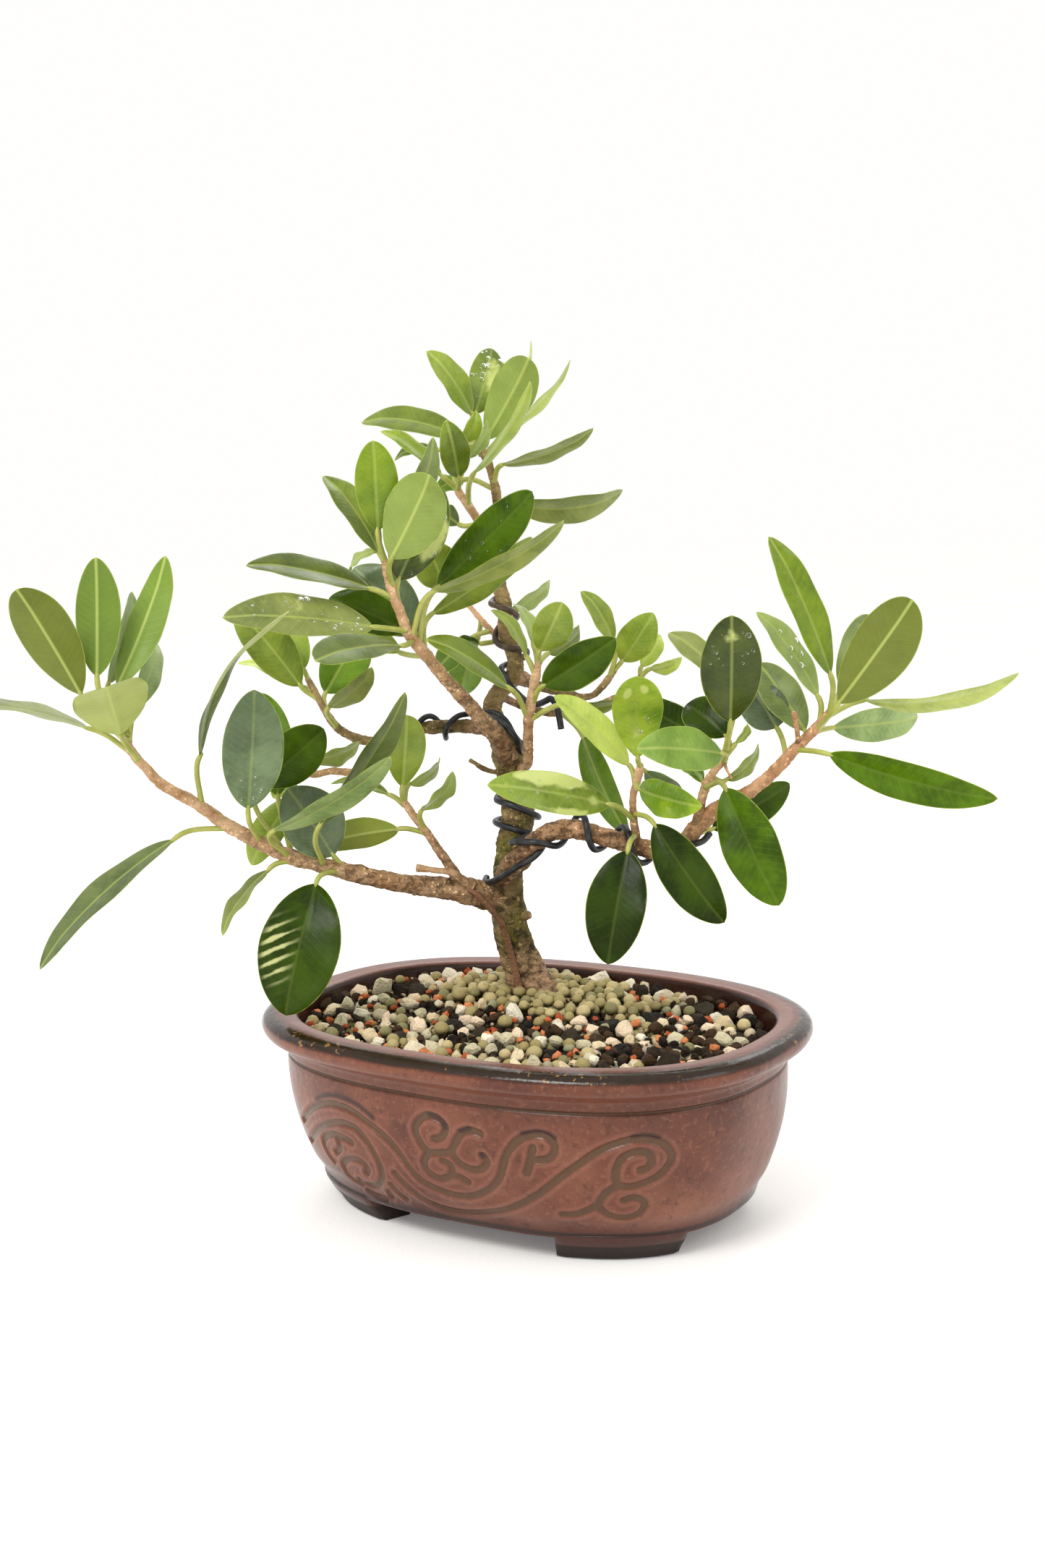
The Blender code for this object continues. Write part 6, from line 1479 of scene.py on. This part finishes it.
KINDS = {
    # kind: (count, smallest and largest radius, ball level, angular, height limit)
    "lump": (30, 3.0, 5.2, 2, True, 1.6),
    "bead": (430, 1.55, 2.2, 2, False, 4.2),
    "pumice": (250, 2.0, 4.5, 2, True, 2.8),
    "char": (270, 1.6, 5.0, 2, True, 3.2),
    "green": (60, 1.8, 3.6, 2, True, 3.0),
    "lava": (130, 1.2, 2.7, 1, True, 3.2),
    "pebble": (170, 1.3, 2.2, 2, False, 3.0),
    "chip": (80, 1.8, 4.0, 1, True, 3.0),
    "grit": (1300, 0.4, 0.95, 1, True, 3.0),
}
grain_data = {k: ([], [], []) for k in KINDS}
underside_shade = {k: [] for k in KINDS}
for kind, (count, r0, r1, level, angular, limit) in KINDS.items():
    rnd = random.Random("grain " + kind)
    made, tries = 0, 0
    while made < count and tries < count * 30:
        tries += 1
        x, y = rnd.uniform(-70, 70), rnd.uniform(-48, 48)
        if kind == "bead" and heap(x, y) > 1 and rnd.random() > (0.012 if dark_bed(x, y) > 0.1 else 0.04):
            continue
        if kind in ("pumice", "char", "lava", "chip", "lump", "green") and heap(x, y) < 1 and rnd.random() > 0.06:
            continue
        if kind in ("char", "chip") and dark_bed(x, y) < 0 and rnd.random() > 0.12:
            continue
        if kind in ("pumice", "pebble", "green") and dark_bed(x, y) > 0.15 and rnd.random() > 0.14:
            continue
        if kind == "green" and not (x < -20 or x > 30 or y > 12):
            continue
        r = r0 + (r1 - r0) * rnd.random() ** 2.0
        z = try_place(x, y, r, rnd, limit)
        if z is None:
            continue
        made += 1
        if kind == "bead":
            v, f = BALLS[2]
            shape = v * (1 + 0.04 * np.array([rnd.gauss(0, 1), rnd.gauss(0, 1), rnd.gauss(0, 1)]))
        elif kind == "chip":
            shape, f = rough_stone(level, rnd, True, (1.5, 0.8, 0.32))
        elif kind in ("pumice", "lump", "lava", "char", "green"):
            shape, f = rough_stone(level, rnd, True, (rnd.uniform(0.95, 1.3), rnd.uniform(0.8, 1.05), rnd.uniform(0.7, 0.95)))
        else:
            shape, f = rough_stone(level, rnd, False, (1.15, 0.95, 0.8))
        V, F, A = grain_data[kind]
        off = sum(len(q) for q in V)
        spin = turned(rnd) if kind != "chip" else turned(rnd) @ np.eye(3)
        V.append(shape @ spin.T * r + np.array([x, y, z]))
        F.append(f + off)
        A += [rnd.random()] * len(shape)
        # how far down each point of the grain faces, for a painted shade on its under side
        underside_shade[kind] += list(np.clip(0.5 - 0.85 * (shape @ spin.T)[:, 2], 0, 1))


def grain_material(name, shades, rough, bump, coat=0.0):
    m = Look(name)
    r = m.attr("chance")
    colour = srgb(*shades[0])
    for i, shade in enumerate(shades[1:], 1):
        colour = m.mix(m.span(r, (i - 0.55) / len(shades), (i - 0.25) / len(shades)), colour, srgb(*shade))
    pit = m.noise(1500.0, 4.0, 0.7)
    colour = m.mix(m.span(pit, 0.55, 0.72, 0.0, 0.6), colour, srgb(*[int(c * 0.5) for c in shades[0]]))
    colour = m.mix(m.span(m.noise(600.0, 3.0), 0.5, 0.7, 0.0, 0.3), colour, srgb(*[min(255, int(c * 1.15)) for c in shades[-1]]))
    # painted shade: the lower side of each grain darker, as if in the shade of its neighbours
    colour = m.mix(m.span(m.attr("low"), 0.30, 1.0, 0.0, 0.85), colour, srgb(44, 34, 22))
    m.shader(Base_Color=colour, Roughness=m.span(pit, 0.3, 0.7, rough, min(1.0, rough + 0.12)))
    m.bsdf.inputs["Coat Weight"].default_value = coat
    m.bsdf.inputs["Specular IOR Level"].default_value = 0.2
    m.bump(m.math("ADD", pit, m.math("MULTIPLY", m.cells(1400.0), 0.6)), bump, 0.0005)
    return m.mat


GRAIN_MATS = {
    "lump": grain_material("grain_lump", [(40, 34, 28), (30, 24, 20), (58, 50, 38)], 0.85, 1.0),
    "pumice": grain_material("grain_pumice", [(238, 218, 182), (246, 236, 212), (224, 202, 162), (240, 216, 186), (208, 198, 164)], 0.85, 1.0),
    "green": grain_material("grain_green", [(150, 164, 136), (112, 130, 100), (178, 186, 158)], 0.8, 1.0),
    "pebble": grain_material("grain_pebble", [(196, 180, 146), (176, 158, 120), (212, 200, 170), (148, 146, 112)], 0.6, 0.5),
    "lava": grain_material("grain_lava", [(200, 104, 58), (170, 78, 40), (218, 136, 86)], 0.8, 1.0),
    "char": grain_material("grain_char", [(28, 21, 14), (44, 33, 21), (68, 50, 32)], 0.8, 1.0),
    "bead": grain_material("grain_bead", [(154, 140, 92), (178, 162, 114), (130, 125, 84), (194, 177, 130), (160, 146, 98)], 0.55, 0.35),
    "chip": grain_material("grain_chip", [(74, 56, 40), (50, 38, 28), (112, 90, 64)], 0.85, 0.8),
    "grit": grain_material("grain_grit", [(40, 30, 22), (140, 118, 86), (70, 52, 36), (180, 160, 124), (34, 26, 20)], 0.85, 0.7),
}
for kind, (V, F, A) in grain_data.items():
    if V:
        make("grains_" + kind, np.concatenate(V), [np.concatenate(F)], [GRAIN_MATS[kind]], {"chance": A, "low": underside_shade[kind]},
             smooth=kind in ("bead", "pebble"), nodes=["top_dressing"])

# ================================================================ water drops
water = Look("water")
water.shader(Base_Color=(1, 1, 1, 1), Roughness=0.02)
water.bsdf.inputs["Transmission Weight"].default_value = 1.0
water.bsdf.inputs["IOR"].default_value = 1.33
DROPS = {"leaf_front_05": (30, 1, 0.0, 0.85), "leaf_right_09": (14, 1, 0.55, 1.0), "leaf_front_09": (22, 1, 0.0, 1.0),
         "leaf_apex_02": (14, 1, 0.2, 0.9), "leaf_left_10": (10, 1, 0.0, 0.35), "leaf_right_01": (6, 1, 0.3, 0.8),
         "leaf_right_04": (8, 1, 0.3, 0.9), "leaf_tip_02": (8, 1, 0.2, 0.9), "leaf_front_11": (8, 1, 0.3, 0.9)}
DV, DF = [], []
ball_v, ball_f = BALLS[2]
for leaf, (count, face, t0, t1) in DROPS.items():
    s = leaf_shape(leaf)
    rnd = random.Random("drops " + leaf)
    upper = -1 if 90 < LEAVES[leaf][5] < 270 else 1
    for _ in range(count):
        t, x = rnd.uniform(max(t0, 0.08), min(t1, 0.92)), rnd.uniform(-0.8, 0.8)
        r = 0.30 + 0.65 * rnd.random() ** 2.2
        ax = abs(x)
        h = s["half"] * breadth(t, s["peak"], 1.28)
        rise = ax * h * math.sin(s["fold"]) * (1.25 - 0.35 * ax)
        c = s["base"] + s["axis"] * (s["length"] * t) + s["side"] * (x * h * math.cos(s["fold"])) \
            + s["normal"] * (s["bend"] * 4 * t * (1 - t) + rise + upper * 0.24)
        basis = np.array([s["axis"], s["side"], s["normal"]])
        shape = ball_v * np.array([1.0, 1.0, 0.5]) * r
        off = len(DV) * len(ball_v)
        DV.append(shape @ basis + np.array(c))
        DF.append(ball_f + off)
make("water_drops", np.concatenate(DV), [np.concatenate(DF)], [water.mat])
